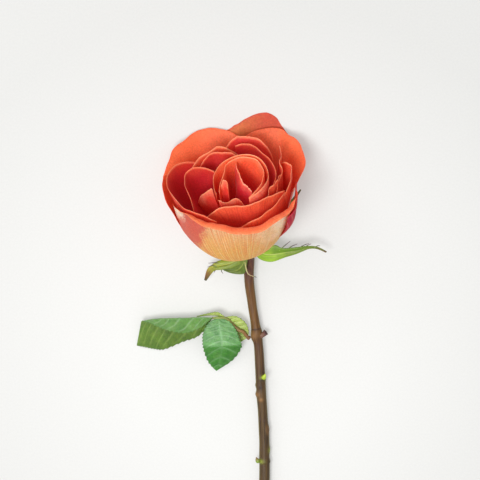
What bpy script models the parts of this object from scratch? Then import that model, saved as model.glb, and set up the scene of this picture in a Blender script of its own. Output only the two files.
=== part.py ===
"""A single cut garden rose, lying as it rests on a flat surface.

The open bloom points along +Y and a little up, its back petals pressed flat on the surface. The stem
runs along -Y to a slanted cut end that touches the surface. Sizes and places are in millimetres, and MM
turns them into metres where a mesh is made. Petals are described in the bloom's own frame, which has
its axis along Z and its base at the origin. Everything else is described as it lies.
"""
import math
from dataclasses import dataclass

import bmesh
import bpy
import numpy as np
from mathutils import Matrix, Vector

MM = 0.001

# How the bloom lies: its base above the surface, the lean of its axis from upright, and its turn.
BASE = np.array([0.0, 0.0, 15.5])
BLOOM_LEAN = math.radians(57)
BLOOM_TURN = math.radians(6)
SETTLE = 1.2

# Thickness of each kind of blade.
PETAL_THICK = 0.7
SEPAL_THICK = 0.6
LEAFLET_THICK = 0.6
WELD = 0.005

# The core that the petals grow from, as radius and height along the bloom's axis.
CORE_PROFILE = [(0.0, 0.0), (7.4, 0.0), (8.2, 1.6), (8.0, 5.0), (6.4, 10.0), (4.2, 14.5), (0.0, 16.5)]

# The hip under the petals, as radius and height along the bloom's axis, from the neck up to its rim.
HIP_PROFILE = [(0.0, -9.3), (3.0, -9.3), (3.6, -7.6), (4.9, -5.2), (5.2, -3.2), (5.6, -1.8), (6.8, -1.0),
               (6.8, -0.3), (0.0, -0.3)]


@dataclass(frozen=True)
class Ring:
    """Where one ring of petals grows from the core, and how full its petals are."""
    radius: float
    height: float
    angle: float
    belly: float
    neck: float


RINGS = {
    "guard": Ring(radius=6.8, height=0.8, angle=86, belly=23, neck=20),
    "under": Ring(radius=6.4, height=1.8, angle=76, belly=18, neck=20),
    "second": Ring(radius=6.0, height=3.0, angle=66, belly=17, neck=19),
    "third": Ring(radius=5.2, height=6.0, angle=45, belly=13, neck=18),
    "heart": Ring(radius=4.4, height=10.0, angle=24, belly=11, neck=16),
    "tongue": Ring(radius=3.0, height=13.0, angle=12, belly=12, neck=14),
}


@dataclass(frozen=True)
class Petal:
    """One petal: azimuth and half span in degrees, then rim radii and rim heights from side to side.

    A petal with a larger value of inside grows a little further in, so that it nests in its neighbours.
    """
    name: str
    ring: str
    at: float
    span: float
    radii: tuple
    heights: tuple
    flare: float = 0.0
    roll: tuple = (0.0,)
    claw: float = 0.75
    belly: tuple = ()
    inside: float = 0.0
    rest: float = 0.35
    wave: float = 0.0
    waves: int = 3
    centre: tuple = (0.0, 0.0)
    rows: int = 6
    columns: int = 8


PETALS = [
    Petal("guard_back_top", "guard", 80, 29, (50, 54, 60.8, 59, 50, 47.5, 47), (36, 40, 43, 44, 43.3, 41, 38),
          flare=55, wave=0.3, rest=0.35),
    Petal("guard_back_left", "guard", 125, 42, (40, 47, 51, 50, 49.2, 47.6, 43.5),
          (40, 43, 44, 43.5, 42, 38, 32), flare=42, wave=0.5, rest=1.4, inside=0.9),
    Petal("guard_back_right", "guard", 46.5, 38, (30, 38.4, 43.6, 46.4, 48.5, 46.5, 42),
          (36, 40, 42, 43, 43, 43, 41), flare=36, wave=0.4, waves=4, rest=2.6, inside=1.8),
    Petal("guard_left", "under", 165, 30, (41, 42.6, 43.2, 43, 42.2, 40.4, 38),
          (34, 38.5, 42.5, 44, 44, 41, 33), flare=12, wave=0.3, belly=(18, 18, 18, 18, 17, 14, 10), rest=3.4),
    Petal("guard_right", "under", -16, 27, (32, 34, 32.6, 31.2, 30.2, 30, 30),
          (38, 41.5, 43.5, 44, 43.5, 42, 37), wave=0.3, belly=(3, 6, 10, 12.5, 14, 15, 15), rest=3.4,
          inside=0.9),
    Petal("guard_front", "guard", -98, 69.5, (37.6, 33.4, 32.2, 33.2, 34.2, 33, 30.6),
          (45, 50.5, 53.5, 54.5, 54.5, 53.5, 49), roll=(10, 70, 120, 140, 130, 105, 40), claw=1.0,
          belly=(27, 30, 28.5, 23, 19, 16, 13), wave=0.2, waves=5, rows=12, columns=12),
    Petal("second_left", "second", 186, 55.5, (33.5, 39.3, 40.8, 38.4, 35.5, 31.5, 29.9),
          (40, 46, 48, 48, 48, 47, 46), flare=5, wave=0.3, rest=4.4, columns=10),
    Petal("second_back_left", "second", 125, 38, (28, 29, 29.6, 29.8, 31), (40, 48, 48, 47, 42),
          flare=10, wave=0.3, rest=5.4, inside=0.9),
    Petal("second_back", "second", 79, 26, (31, 33.6, 34.7, 35, 32), (38, 46.5, 47.8, 47, 42),
          flare=20, wave=0.3, rest=4.4),
    Petal("second_right", "second", 5, 30, (24, 26.5, 28.6, 29.5, 28.5), (42, 46.5, 48, 47.3, 43),
          wave=0.2, rest=4.4, inside=0.9),
    Petal("second_fold", "second", 15.5, 35.5, (20.5, 20.6, 21.4, 24.3, 25, 30.5, 36.5),
          (44, 45, 45.4, 47, 48.4, 46.2, 44.2), wave=0.2, rest=5.4, inside=1.8),
    Petal("second_front_right", "second", -62, 44, (30, 28.6, 28.4, 27, 26.2, 25.6, 25),
          (36, 42, 45, 46, 46.5, 47, 45), rest=4.4, inside=2.7),
    Petal("second_front", "third", -82, 67, (28, 22, 19.4, 19, 19.6, 21, 24.4),
          (34, 46, 48, 48, 48, 47.6, 44), flare=-5, columns=10),
    Petal("third_left", "third", 174, 36, (18, 26, 29.7, 30, 29, 29.3, 30.3),
          (46, 48.5, 49, 49, 49, 47, 42), wave=0.2, inside=0.9),
    Petal("third_back", "third", 112, 30, (17, 20.5, 24, 26.8, 27), (46, 49, 49, 49, 45), wave=0.2),
    Petal("third_back_right", "third", 39, 53, (16.3, 18.8, 20.3, 21.3, 23.5, 28, 31),
          (42, 47, 48.5, 49, 49, 48.5, 46), wave=0.2, columns=10, inside=0.9),
    Petal("third_right", "third", -15.5, 32, (20.5, 17.8, 19.1, 21, 24), (44, 48, 48, 48, 44),
          wave=0.3, waves=4, inside=1.8),
    Petal("heart_outer", "heart", 65.5, 140, (15.3, 15.6, 15.8, 16.8, 15, 14.1, 14.2),
          (49, 51, 52, 52, 51.5, 50.5, 47), flare=-5, columns=16),
    Petal("heart_second", "heart", 66.5, 140, (14.6, 13, 14, 14.6, 12, 8.4, 12.6),
          (49, 51, 52, 52, 51.5, 50.5, 47), flare=-5, columns=16, inside=1.6),
    Petal("heart_tongue", "tongue", 197, 72, (11.4, 7.2, 5.8, 5.3, 5.4, 5.5, 6.8),
          (51, 50, 49.3, 49, 48.5, 47.5, 46), flare=-30, centre=(6.0, 1.0), columns=8),
    Petal("heart_front_left", "heart", -171, 21, (24.6, 22.8, 19.8, 17.6, 17.2), (28.8, 38.6, 44.8, 49.4, 52.8),
          columns=6, inside=-1.6),
    Petal("heart_front", "heart", -112, 30, (15.6, 14.4, 13.6, 13, 12.6, 12.6, 13.4),
          (45.5, 43.6, 44.5, 46.4, 47.5, 44.9, 40.4), columns=8, inside=-0.8),
    Petal("heart_curl", "heart", -165, 15, (11.7, 9.6, 8.2, 7.1, 7.8), (42, 47.9, 52.1, 51, 47.7),
          claw=0.5, columns=4),
]

# The stem: centre points from under the hip to the cut end, with its radius at each.
STEM_CENTRES = [(0.85, -8.1, 10.2), (1.0, -11.2, 8.3), (0.8, -19.5, 6.4), (1.3, -27.0, 5.7),
                (2.7, -38.0, 5.0), (4.3, -48.0, 4.7), (5.2, -54.0, 4.6), (6.1, -60.0, 4.5),
                (6.7, -68.5, 4.4), (7.4, -82.0, 4.2), (8.0, -92.0, 4.0), (8.7, -102.0, 3.8),
                (9.3, -112.5, 3.6), (9.5, -122.0, 3.5), (9.6, -134.0, 3.3), (9.4, -150.0, 3.1),
                (8.9, -166.0, 3.0), (8.1, -182.0, 2.95)]
STEM_RADII = [2.95, 2.9, 2.75, 2.65, 2.5, 2.5, 2.6, 2.55, 2.6, 2.7, 2.7, 2.65, 2.8, 2.9, 2.95, 2.95, 2.95, 2.95]
STEM_CUT_SLANT = 0.55
STEM_RINGS = 66
STEM_SIDES = 14


@dataclass(frozen=True)
class Swelling:
    """A rise on the stem: how far down it, which way it faces, and its height and reach."""
    y: float
    facing: float
    rise: float
    length: float
    width: float


# Facing is in degrees round the stem: 0 right, 90 up, 180 left. A width of 360 goes all the way round.
SWELLINGS = [
    Swelling(y=-53.6, facing=90, rise=0.55, length=3.2, width=360),
    Swelling(y=-56.2, facing=168, rise=0.7, length=2.2, width=60),
    Swelling(y=-83.5, facing=172, rise=0.45, length=1.3, width=40),
    Swelling(y=-88.6, facing=165, rise=0.65, length=1.5, width=45),
    Swelling(y=-79.5, facing=40, rise=0.5, length=1.8, width=55),
    Swelling(y=-109.0, facing=25, rise=0.4, length=3.0, width=50),
    Swelling(y=-121.0, facing=5, rise=0.45, length=2.0, width=45),
    Swelling(y=-127.5, facing=120, rise=0.35, length=1.2, width=360),
    Swelling(y=-158.0, facing=60, rise=0.4, length=2.4, width=360),
]

# The stump of a side shoot that was cut off: its axis points and its radii.
STUMP_CENTRES = [(5.4, -55.4, 4.8), (7.6, -54.8, 5.6), (8.9, -54.2, 6.1), (10.2, -53.0, 6.6)]
STUMP_RADII = [1.7, 1.6, 1.35, 1.6]

# The two dormant buds: points from foot to tip.
BUDS = {
    "bud_upper": ((8.85, -78.8, 7.4), (9.1, -78.4, 7.9), (9.5, -77.4, 8.6), (10.0, -76.0, 9.2)),
    "bud_lower": ((6.4, -127.3, 5.2), (5.9, -127.0, 5.5), (5.4, -126.0, 5.8), (4.9, -124.6, 6.2)),
}
BUD_RADII = (0.9, 1.2, 0.9, 0.15)


@dataclass(frozen=True)
class Blade:
    """A thin blade between two edges, with its midrib between them, each given as points along it."""
    name: str
    one_edge: tuple
    midrib: tuple
    other_edge: tuple
    teeth: int = 0
    tooth: float = 0.0
    bulge: float = 0.0
    rows: int = 9
    half_columns: int = 2


SEPALS = [
    Blade("right",
          ((3.6, -4.6, 13.4), (6.5, -9.8, 12.2), (13.1, -11.8, 11.0), (21.0, -9.1, 11.0), (26.3, -7.2, 12.0),
           (30.2, -5.6, 12.4), (34.1, -4.2, 12.4), (38.4, -4.6, 11.5), (43.3, -6.9, 10.0)),
          ((4.6, -2.6, 14.4), (9.0, -7.0, 12.6), (14.0, -7.6, 11.8), (19.6, -6.5, 12.0), (24.6, -5.5, 12.5),
           (29.2, -4.4, 12.9), (33.8, -3.5, 12.6), (38.4, -4.0, 11.6), (43.5, -6.6, 10.0)),
          ((6.3, -1.6, 14.6), (10.0, -3.8, 13.0), (15.2, -2.3, 12.6), (18.9, -3.8, 13.0), (23.1, -3.7, 13.4),
           (28.0, -3.2, 13.4), (33.4, -2.7, 13.0), (38.4, -3.4, 12.0), (43.6, -6.3, 10.0)),
          bulge=0.4),
    Blade("left",
          ((-5.2, -1.4, 14.7), (-6.4, -7.4, 12.4), (-9.6, -10.2, 10.6), (-15.8, -11.9, 9.6),
           (-19.8, -14.4, 9.6), (-22.3, -17.0, 9.0), (-23.8, -22.9, 7.5)),
          ((-3.8, -2.6, 15.0), (-4.6, -9.2, 13.0), (-9.0, -12.6, 11.6), (-14.6, -14.2, 10.6),
           (-18.6, -15.4, 10.0), (-21.0, -17.8, 9.2), (-23.3, -23.2, 7.5)),
          ((-1.8, -4.2, 14.4), (-3.2, -11.4, 13.0), (-8.2, -15.0, 12.0), (-14.2, -16.2, 11.0),
           (-17.6, -16.6, 10.2), (-19.8, -18.7, 9.2), (-22.8, -23.4, 7.5)),
          bulge=0.4),
    Blade("front",
          ((-3.4, -3.6, 15.4), (-4.0, -11.0, 13.2), (-6.4, -13.6, 11.2), (-9.0, -15.2, 9.4),
           (-11.1, -16.2, 8.2), (-13.4, -17.1, 7.6)),
          ((-1.6, -4.6, 15.6), (-2.2, -11.6, 13.8), (-3.9, -15.0, 12.2), (-5.8, -17.0, 10.2),
           (-9.2, -17.9, 8.8), (-13.2, -17.4, 7.6)),
          ((0.4, -4.4, 15.6), (-0.4, -11.8, 14.2), (-1.0, -16.2, 12.8), (-2.6, -18.8, 10.8),
           (-7.9, -19.0, 9.0), (-12.9, -17.7, 7.6)),
          bulge=-0.5),
    Blade("back_right",
          ((5.6, -1.9, 14.5), (11.6, -0.4, 9.6), (17.6, 6.4, 6.6), (21.6, 13.0, 6.0), (25.0, 20.2, 7.8),
           (29.4, 28.1, 10.0)),
          ((5.4, -0.6, 13.8), (10.8, 1.8, 9.0), (16.2, 8.2, 6.4), (20.2, 14.4, 6.0), (24.4, 21.0, 7.9),
           (29.3, 28.4, 10.0)),
          ((4.6, 0.1, 12.8), (9.8, 3.4, 8.2), (14.8, 10.0, 6.4), (18.8, 15.8, 6.2), (23.8, 21.8, 8.0),
           (29.1, 28.6, 10.1))),
    Blade("back_left",
          ((-5.2, -1.4, 13.4), (-9.6, 2.6, 8.4), (-13.4, 7.4, 3.6), (-20.0, 10.6, 0.8), (-27.0, 11.0, 0.6)),
          ((-4.2, -0.4, 12.6), (-7.4, 3.9, 7.6), (-10.8, 9.8, 3.0), (-18.4, 12.4, 0.6), (-27.2, 11.6, 0.5)),
          ((-2.6, 0.2, 12.0), (-4.8, 4.3, 7.2), (-8.4, 11.8, 2.8), (-17.6, 14.4, 0.6), (-27.0, 12.2, 0.6))),
]

# Thread-like side lobes of the sepals: root, bend and tip.
SEPAL_THREADS = [
    ((17.6, -5.2, 12.6), (20.6, -2.2, 13.6), (23.6, 0.4, 14.2)),
    ((21.6, -4.8, 13.0), (24.4, -2.6, 13.8), (27.4, -1.1, 14.6)),
    ((27.6, -4.2, 13.2), (30.8, -2.1, 13.8), (34.0, -0.7, 14.6)),
    ((30.8, -4.0, 13.0), (33.0, -2.2, 13.5), (35.0, -1.2, 13.9)),
    ((36.6, -3.9, 12.0), (38.6, -2.7, 12.4), (40.0, -2.6, 12.6)),
    ((-14.0, -13.2, 10.2), (-17.6, -12.6, 10.4), (-21.6, -12.7, 11.0)),
    ((-16.8, -15.0, 10.4), (-19.4, -14.2, 10.8), (-22.0, -14.9, 11.2)),
    ((-13.0, -15.4, 11.0), (-14.4, -16.9, 11.0), (-13.5, -18.8, 10.4)),
    ((-16.6, -15.8, 10.4), (-17.9, -17.0, 10.2), (-18.3, -18.2, 9.8)),
    ((-1.4, -11.4, 14.2), (0.2, -17.6, 15.0), (4.8, -19.9, 14.4)),
]
THREAD_RADIUS = 0.45

# The leaf's stalk and the rachis it runs on into, with its radius at each point.
STALK_CENTRES = [(0.95, -56.7, 4.6), (-0.3, -55.6, 5.4), (-2.4, -52.6, 6.9), (-5.0, -51.4, 7.3),
                 (-8.7, -47.8, 7.6), (-11.6, -44.8, 8.0), (-15.4, -44.2, 8.2), (-19.6, -44.4, 8.4)]
STALK_RADII = [1.25, 1.05, 0.95, 0.9, 0.8, 0.8, 0.75, 0.6]

LEAFLETS = [
    Blade("end",
          ((-19.4, -44.1, 9.2), (-26.8, -48.9, 15.0), (-35.2, -50.7, 17.5), (-43.6, -49.4, 16.5),
           (-49.4, -48.0, 13.5), (-54.2, -46.9, 9.8), (-58.2, -46.3, 6.8)),
          ((-19.4, -44.4, 8.3), (-26.2, -44.0, 8.6), (-34.4, -44.3, 8.4), (-43.0, -44.7, 7.8),
           (-49.0, -45.1, 7.2), (-54.2, -45.8, 6.4), (-58.8, -47.2, 5.0)),
          ((-19.8, -45.0, 7.4), (-26.8, -55.0, 4.6), (-36.0, -59.4, 2.2), (-46.2, -64.0, 0.9),
           (-51.8, -63.8, 0.7), (-57.0, -62.6, 0.7), (-61.4, -61.8, 0.7)),
          teeth=13, tooth=0.9, bulge=0.8, half_columns=3),
    Blade("front",
          ((-16.8, -44.4, 8.2), (-21.6, -47.2, 8.6), (-24.2, -51.9, 9.0), (-24.8, -57.0, 8.8),
           (-24.2, -62.6, 7.2), (-21.9, -70.2, 3.4), (-18.1, -75.5, 1.2)),
          ((-15.8, -44.2, 8.2), (-15.6, -48.2, 9.4), (-14.8, -52.8, 9.9), (-14.2, -57.6, 10.0),
           (-14.2, -62.2, 8.8), (-15.6, -69.8, 4.4), (-17.2, -76.2, 0.9)),
          ((-14.6, -44.2, 8.2), (-9.4, -47.0, 8.9), (-6.2, -51.4, 9.2), (-4.4, -56.4, 9.2),
           (-3.4, -61.0, 7.8), (-7.8, -69.0, 3.7), (-16.3, -75.5, 1.2)),
          teeth=11, tooth=0.8, bulge=0.5, half_columns=3),
    Blade("right",
          ((-12.2, -44.0, 7.7), (-6.8, -43.6, 7.2), (-1.7, -47.0, 6.3), (0.4, -51.6, 5.2), (0.0, -55.8, 4.3),
           (-4.0, -59.4, 3.3)),
          ((-12.4, -44.5, 7.6), (-8.6, -46.3, 6.7), (-5.4, -50.0, 5.6), (-4.2, -53.6, 4.7), (-4.2, -56.8, 4.0),
           (-4.6, -59.7, 3.2)),
          ((-12.6, -45.0, 7.5), (-11.6, -48.6, 6.4), (-9.7, -52.8, 5.2), (-8.4, -56.2, 4.4),
           (-6.8, -58.3, 3.8), (-5.2, -59.8, 3.1)),
          teeth=8, tooth=0.6, bulge=0.3),
    Blade("small",
          ((-12.4, -43.8, 8.1), (-16.8, -41.3, 7.4), (-22.8, -42.5, 6.8), (-28.0, -43.8, 6.4)),
          ((-12.6, -44.2, 8.0), (-16.8, -42.6, 7.0), (-22.6, -43.2, 6.2), (-28.0, -44.0, 6.2)),
          ((-12.8, -44.5, 7.9), (-17.0, -43.6, 6.0), (-22.4, -43.6, 5.4), (-27.8, -44.2, 5.9)),
          teeth=6, tooth=0.4),
]

COLOURS = {
    "petal_red": (0.80, 0.105, 0.030),
    "sepal_green": (0.22, 0.40, 0.05),
    "stem_brown": (0.20, 0.105, 0.05),
    "leaf_green": (0.13, 0.30, 0.06),
    "bud_green": (0.36, 0.48, 0.06),
}


def smooth(x):
    """Goes from 0 to 1 with level ends."""
    x = np.clip(x, 0, 1)
    return x * x * (3 - 2 * x)


def through(values, t):
    """The smooth curve through values set at equal steps over t from -1 to 1, by a cubic per step."""
    values = np.asarray(values, float)
    if len(values) == 1:
        return values[0] + 0 * np.asarray(t)
    steps = len(values) - 1
    x = (np.asarray(t) + 1) / 2 * steps
    i = np.clip(np.floor(x).astype(int), 0, steps - 1)
    f = x - i
    if values.ndim > 1:
        f = f[..., None]
    padded = np.concatenate([2 * values[:1] - values[1:2], values, 2 * values[-1:] - values[-2:-1]])
    a, b, c, d = padded[i], padded[i + 1], padded[i + 2], padded[i + 3]
    return 0.5 * (2 * b + (c - a) * f + (2 * a - 5 * b + 4 * c - d) * f**2 + (3 * b - a - 3 * c + d) * f**3)


def bezier(p0, p1, p2, p3, u):
    """A cubic Bezier curve's value at u."""
    v = 1 - u
    return v**3 * p0 + 3 * v * v * u * p1 + 3 * v * u * u * p2 + u**3 * p3


def petal_surface(petal, rows, columns, fine=8):
    """The petal's middle surface, (rows + 1, columns + 1, 3), in the bloom's own frame.

    From root to rim each line runs in a plane through the axis: a Bezier curve that leaves the core at
    its ring's angle and reaches the rim at the petal's flare. The last sixth of it may roll outwards.
    """
    ring = RINGS[petal.ring]
    u = np.linspace(0, 1, rows * fine + 1)[:, None]
    t = np.linspace(-1, 1, columns + 1)[None, :]
    rim_radius = through(petal.radii, t)
    rim_height = through(petal.heights, t)
    belly = through(petal.belly, t) if petal.belly else ring.belly
    leave = math.radians(ring.angle)
    arrive = math.radians(petal.flare)
    root_radius = ring.radius - 0.3 * petal.inside
    root_height = ring.height + petal.inside
    r = bezier(root_radius, root_radius + belly * math.sin(leave),
               rim_radius - ring.neck * math.sin(arrive), rim_radius, u)
    h = bezier(root_height, root_height + belly * math.cos(leave),
               rim_height - ring.neck * math.cos(arrive), rim_height, u)

    length = np.hypot(np.diff(r, axis=0), np.diff(h, axis=0))
    angle = np.arctan2(np.diff(r, axis=0), np.diff(h, axis=0))
    middle = (u[1:] + u[:-1]) / 2
    angle = angle + np.radians(through(petal.roll, t)) * np.clip((middle - 0.84) / 0.16, 0, 1) ** 1.5
    start = np.zeros_like(t)
    r = root_radius + np.concatenate([start, np.cumsum(length * np.sin(angle), 0)])
    h = root_height + np.concatenate([start, np.cumsum(length * np.cos(angle), 0)])
    r = r + petal.wave * np.sin(petal.waves * t * math.pi + petal.at) * u**4

    reach = petal.claw + (1 - petal.claw) * smooth(u / 0.5)
    azimuth = np.radians(petal.at + petal.span * t * reach)
    shift = smooth(u / 0.8)
    x = r * np.cos(azimuth) + petal.centre[0] * shift
    y = r * np.sin(azimuth) + petal.centre[1] * shift
    return np.stack([x, y, h], -1)[::fine]


def bloom_to_lying(points):
    """Turns points of the bloom's own frame to how the bloom lies."""
    turn = np.array(Matrix.Rotation(BLOOM_TURN, 3, "Z") @ Matrix.Rotation(-BLOOM_LEAN, 3, "X"))
    return points @ turn.T + BASE


def settle(points, rest):
    """Presses what would reach under the height rest softly flat on it."""
    pressed = points.copy()
    pressed[..., 2] = rest + SETTLE * np.logaddexp(0, (points[..., 2] - rest) / SETTLE)
    return pressed


def lying_petal(petal, rows, columns):
    """The petal's middle surface as it lies."""
    return settle(bloom_to_lying(petal_surface(petal, rows, columns)), petal.rest)


def blade_surface(blade):
    """The blade's middle surface: a grid from one edge over the midrib to the other, with toothed edges."""
    rows = 2 * blade.teeth or blade.rows
    s = np.linspace(-1, 1, rows + 1)
    one = through(blade.one_edge, s)
    middle = through(blade.midrib, s)
    other = through(blade.other_edge, s)
    along = (s + 1) / 2
    saw = blade.tooth * (np.arange(rows + 1) % 2 - 0.5) * smooth(8 * along) * smooth(8 * (1 - along))
    halves = []
    for edge in (one, other):
        out = edge - middle
        width = np.linalg.norm(out, axis=1, keepdims=True)
        halves.append(edge + out / np.maximum(width, 0.01) * saw[:, None])
    one, other = halves
    across = np.linspace(0, 1, blade.half_columns + 1)
    tangent = np.gradient(middle, axis=0)
    normal = np.cross(tangent, other - one)
    normal /= np.maximum(np.linalg.norm(normal, axis=1, keepdims=True), 0.001)
    normal *= np.sign(normal[:, 2:3] + 1e-9)
    rise = blade.bulge * np.sin(np.pi * along)[:, None, None] * np.sin(np.pi * across)[None, :, None]
    left = one[:, None] * across[::-1][None, :, None] + middle[:, None] * across[None, :, None]
    right = middle[:, None] * across[::-1][None, :, None] + other[:, None] * across[None, :, None]
    left = left + normal[:, None] * rise
    right = right + normal[:, None] * rise
    return np.concatenate([left, right[:, 1:]], axis=1)


def tube_surface(centres, radii, rings, sides):
    """Rings of points round a curved centre line, (rings + 1, sides, 3), and the line's own points."""
    s = np.linspace(-1, 1, rings + 1)
    line = through(centres, s)
    radius = through(radii, s)
    tangent = np.gradient(line, axis=0)
    tangent /= np.linalg.norm(tangent, axis=1, keepdims=True)
    up = np.array([0.0, 0.0, 1.0])
    side = np.cross(tangent, up)
    side /= np.linalg.norm(side, axis=1, keepdims=True)
    up = np.cross(side, tangent)
    angle = np.linspace(0, 2 * np.pi, sides, endpoint=False)
    ring = side[:, None] * -np.cos(angle)[None, :, None] + up[:, None] * np.sin(angle)[None, :, None]
    return line[:, None] + ring * radius[:, None, None], line, ring, angle


def stem_surface(rings, sides):
    """The stem with its swellings, pressed flat where it would reach under the surface, cut at a slant."""
    points, line, ring, angle = tube_surface(STEM_CENTRES, STEM_RADII, rings, sides)
    for swelling in SWELLINGS:
        along = np.exp(-(((line[:, 1] - swelling.y) / swelling.length) ** 2))
        away = np.degrees(np.angle(np.exp(1j * (angle - math.radians(swelling.facing)))))
        around = np.ones_like(away) if swelling.width == 360 else np.exp(-((away / swelling.width) ** 2))
        points = points + ring * (swelling.rise * along[:, None] * around[None, :])[..., None]
    last = points[-1]
    last[:, 1] += STEM_CUT_SLANT * (last[:, 2] - line[-1, 2])
    points[..., 2] = np.maximum(points[..., 2], 0.0)
    return points


def new_object(name, mesh, collection):
    """Links a new object with this mesh into the collection."""
    mesh.update()
    obj = bpy.data.objects.new(name, mesh)
    collection.objects.link(obj)
    return obj


def closed_tube(name, points, collection):
    """A closed object from rings of points: faces round it and a fan at each end."""
    rings, sides = points.shape[:2]
    verts = [tuple(p * MM) for p in points.reshape(-1, 3)]
    first = len(verts)
    verts += [tuple(points[0].mean(0) * MM), tuple(points[-1].mean(0) * MM)]
    faces = []
    for i in range(rings - 1):
        for j in range(sides):
            k = (j + 1) % sides
            a, b = i * sides, (i + 1) * sides
            faces += [(a + j, a + k, b + k), (a + j, b + k, b + j)]
    for j in range(sides):
        k = (j + 1) % sides
        end = (rings - 1) * sides
        faces += [(first, k, j), (first + 1, end + j, end + k)]
    mesh = bpy.data.meshes.new(name)
    mesh.from_pydata(verts, [], faces)
    obj = new_object(name, mesh, collection)
    face_outwards(obj)
    return obj


def face_outwards(obj):
    """Makes every face of a closed mesh point out of it."""
    bm = bmesh.new()
    bm.from_mesh(obj.data)
    bmesh.ops.recalc_face_normals(bm, faces=bm.faces)
    bm.to_mesh(obj.data)
    bm.free()


def turned(name, profile, sides, collection):
    """A closed body turned round the bloom's axis from a profile of radius and height, as it lies."""
    inner = np.array(profile[1:-1])
    angle = np.linspace(0, 2 * np.pi, sides, endpoint=False)
    rings = np.stack([inner[:, :1] * np.cos(angle), inner[:, :1] * np.sin(angle),
                      np.repeat(inner[:, 1:], sides, axis=1)], -1)
    return closed_tube(name, bloom_to_lying(rings), collection)


def sheet(name, points, thickness, collection):
    """A closed blade from a grid of points: triangles alike on both faces, thickened about the middle."""
    rows, columns = points.shape[:2]
    index = np.arange(rows * columns).reshape(rows, columns)
    a, b, c, d = index[:-1, :-1], index[:-1, 1:], index[1:, 1:], index[1:, :-1]
    faces = np.concatenate([np.stack([a, b, c], -1).reshape(-1, 3), np.stack([a, c, d], -1).reshape(-1, 3)])
    mesh = bpy.data.meshes.new(name)
    mesh.from_pydata((points.reshape(-1, 3) * MM).tolist(), [], faces.tolist())
    obj = new_object(name, mesh, collection)
    bm = bmesh.new()
    bm.from_mesh(mesh)
    bmesh.ops.remove_doubles(bm, verts=bm.verts, dist=0.02 * MM)
    bm.to_mesh(mesh)
    bm.free()
    solid = obj.modifiers.new("thickness", "SOLIDIFY")
    solid.thickness = thickness * MM
    solid.offset = 0
    return obj


def thread(name, points, radius, collection):
    """A thin tapered thread through three points."""
    surface = tube_surface(points, (radius, radius * 0.85, radius * 0.7), 3, 4)[0]
    return closed_tube(name, surface, collection)


def fused(body, pieces):
    """Joins everything in the pieces collection to the body with one union, and clears the collection."""
    union = body.modifiers.new("fuse", "BOOLEAN")
    union.operation = "UNION"
    union.operand_type = "COLLECTION"
    union.collection = pieces
    union.solver = "MANIFOLD"
    graph = bpy.context.evaluated_depsgraph_get()
    graph.update()
    mesh = bpy.data.meshes.new_from_object(body.evaluated_get(graph))
    body.modifiers.clear()
    body.data = mesh
    for obj in list(pieces.objects):
        bpy.data.objects.remove(obj)
    keep_largest_shell(body)
    return body


def keep_largest_shell(obj):
    """Drops the inner walls of pockets that the union closed off, and makes triangles."""
    bm = bmesh.new()
    bm.from_mesh(obj.data)
    bmesh.ops.remove_doubles(bm, verts=bm.verts, dist=WELD * MM)
    bmesh.ops.dissolve_degenerate(bm, edges=bm.edges, dist=WELD * MM)
    bmesh.ops.triangulate(bm, faces=bm.faces)
    unseen = set(bm.verts)
    shells = []
    while unseen:
        shell = {unseen.pop()}
        front = list(shell)
        while front:
            for edge in front.pop().link_edges:
                for vert in edge.verts:
                    if vert in unseen:
                        unseen.remove(vert)
                        shell.add(vert)
                        front.append(vert)
        shells.append(shell)
    shells.sort(key=len)
    print(obj.name, "vertices in each shell", [len(shell) for shell in shells])
    for shell in shells[:-1]:
        bmesh.ops.delete(bm, geom=list(shell), context="VERTS")
    bm.to_mesh(obj.data)
    bm.free()


def paint(obj, slot):
    """Gives the object one plain material."""
    material = bpy.data.materials.get(slot)
    if material is None:
        material = bpy.data.materials.new(slot)
        material.use_nodes = True
        shader = material.node_tree.nodes["Principled BSDF"]
        shader.inputs["Base Color"].default_value = (*COLOURS[slot], 1)
        shader.inputs["Roughness"].default_value = 0.6
    obj.data.materials.clear()
    obj.data.materials.append(material)


def build_bloom(rose, pieces):
    """The bloom: a small core with every petal grown out of it."""
    core = turned("bloom", CORE_PROFILE, 16, rose)
    for petal in PETALS:
        sheet(petal.name, lying_petal(petal, petal.rows, petal.columns), PETAL_THICK, pieces)
    return fused(core, pieces)


def build_calyx(rose, pieces):
    """The hip with its five sepals and their side threads."""
    hip = turned("calyx", HIP_PROFILE, 14, rose)
    for sepal in SEPALS:
        points = settle(blade_surface(sepal), SEPAL_THICK / 2)
        sheet("sepal_" + sepal.name, points, SEPAL_THICK, pieces)
    for number, points in enumerate(SEPAL_THREADS):
        thread("thread_%d" % number, points, THREAD_RADIUS, pieces)
    return fused(hip, pieces)


def build_stem(rose, pieces):
    """The stem with the stump of its cut side shoot."""
    stem = closed_tube("stem", stem_surface(STEM_RINGS, STEM_SIDES), rose)
    closed_tube("stump", tube_surface(STUMP_CENTRES, STUMP_RADII, 5, 9)[0], pieces)
    return fused(stem, pieces)


def build_leaf(rose, pieces):
    """The leaf: its stalk, and each leaflet with a midrib that runs out of the stalk."""
    stalk = closed_tube("leaf", tube_surface(STALK_CENTRES, STALK_RADII, 14, 7)[0], rose)
    for leaflet in LEAFLETS:
        sheet("leaflet_" + leaflet.name, blade_surface(leaflet), LEAFLET_THICK, pieces)
    return fused(stalk, pieces)


def build_bud(name, rose):
    """A small pointed bud on the stem."""
    return closed_tube(name, tube_surface(BUDS[name], BUD_RADII, 6, 10)[0], rose)


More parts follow.
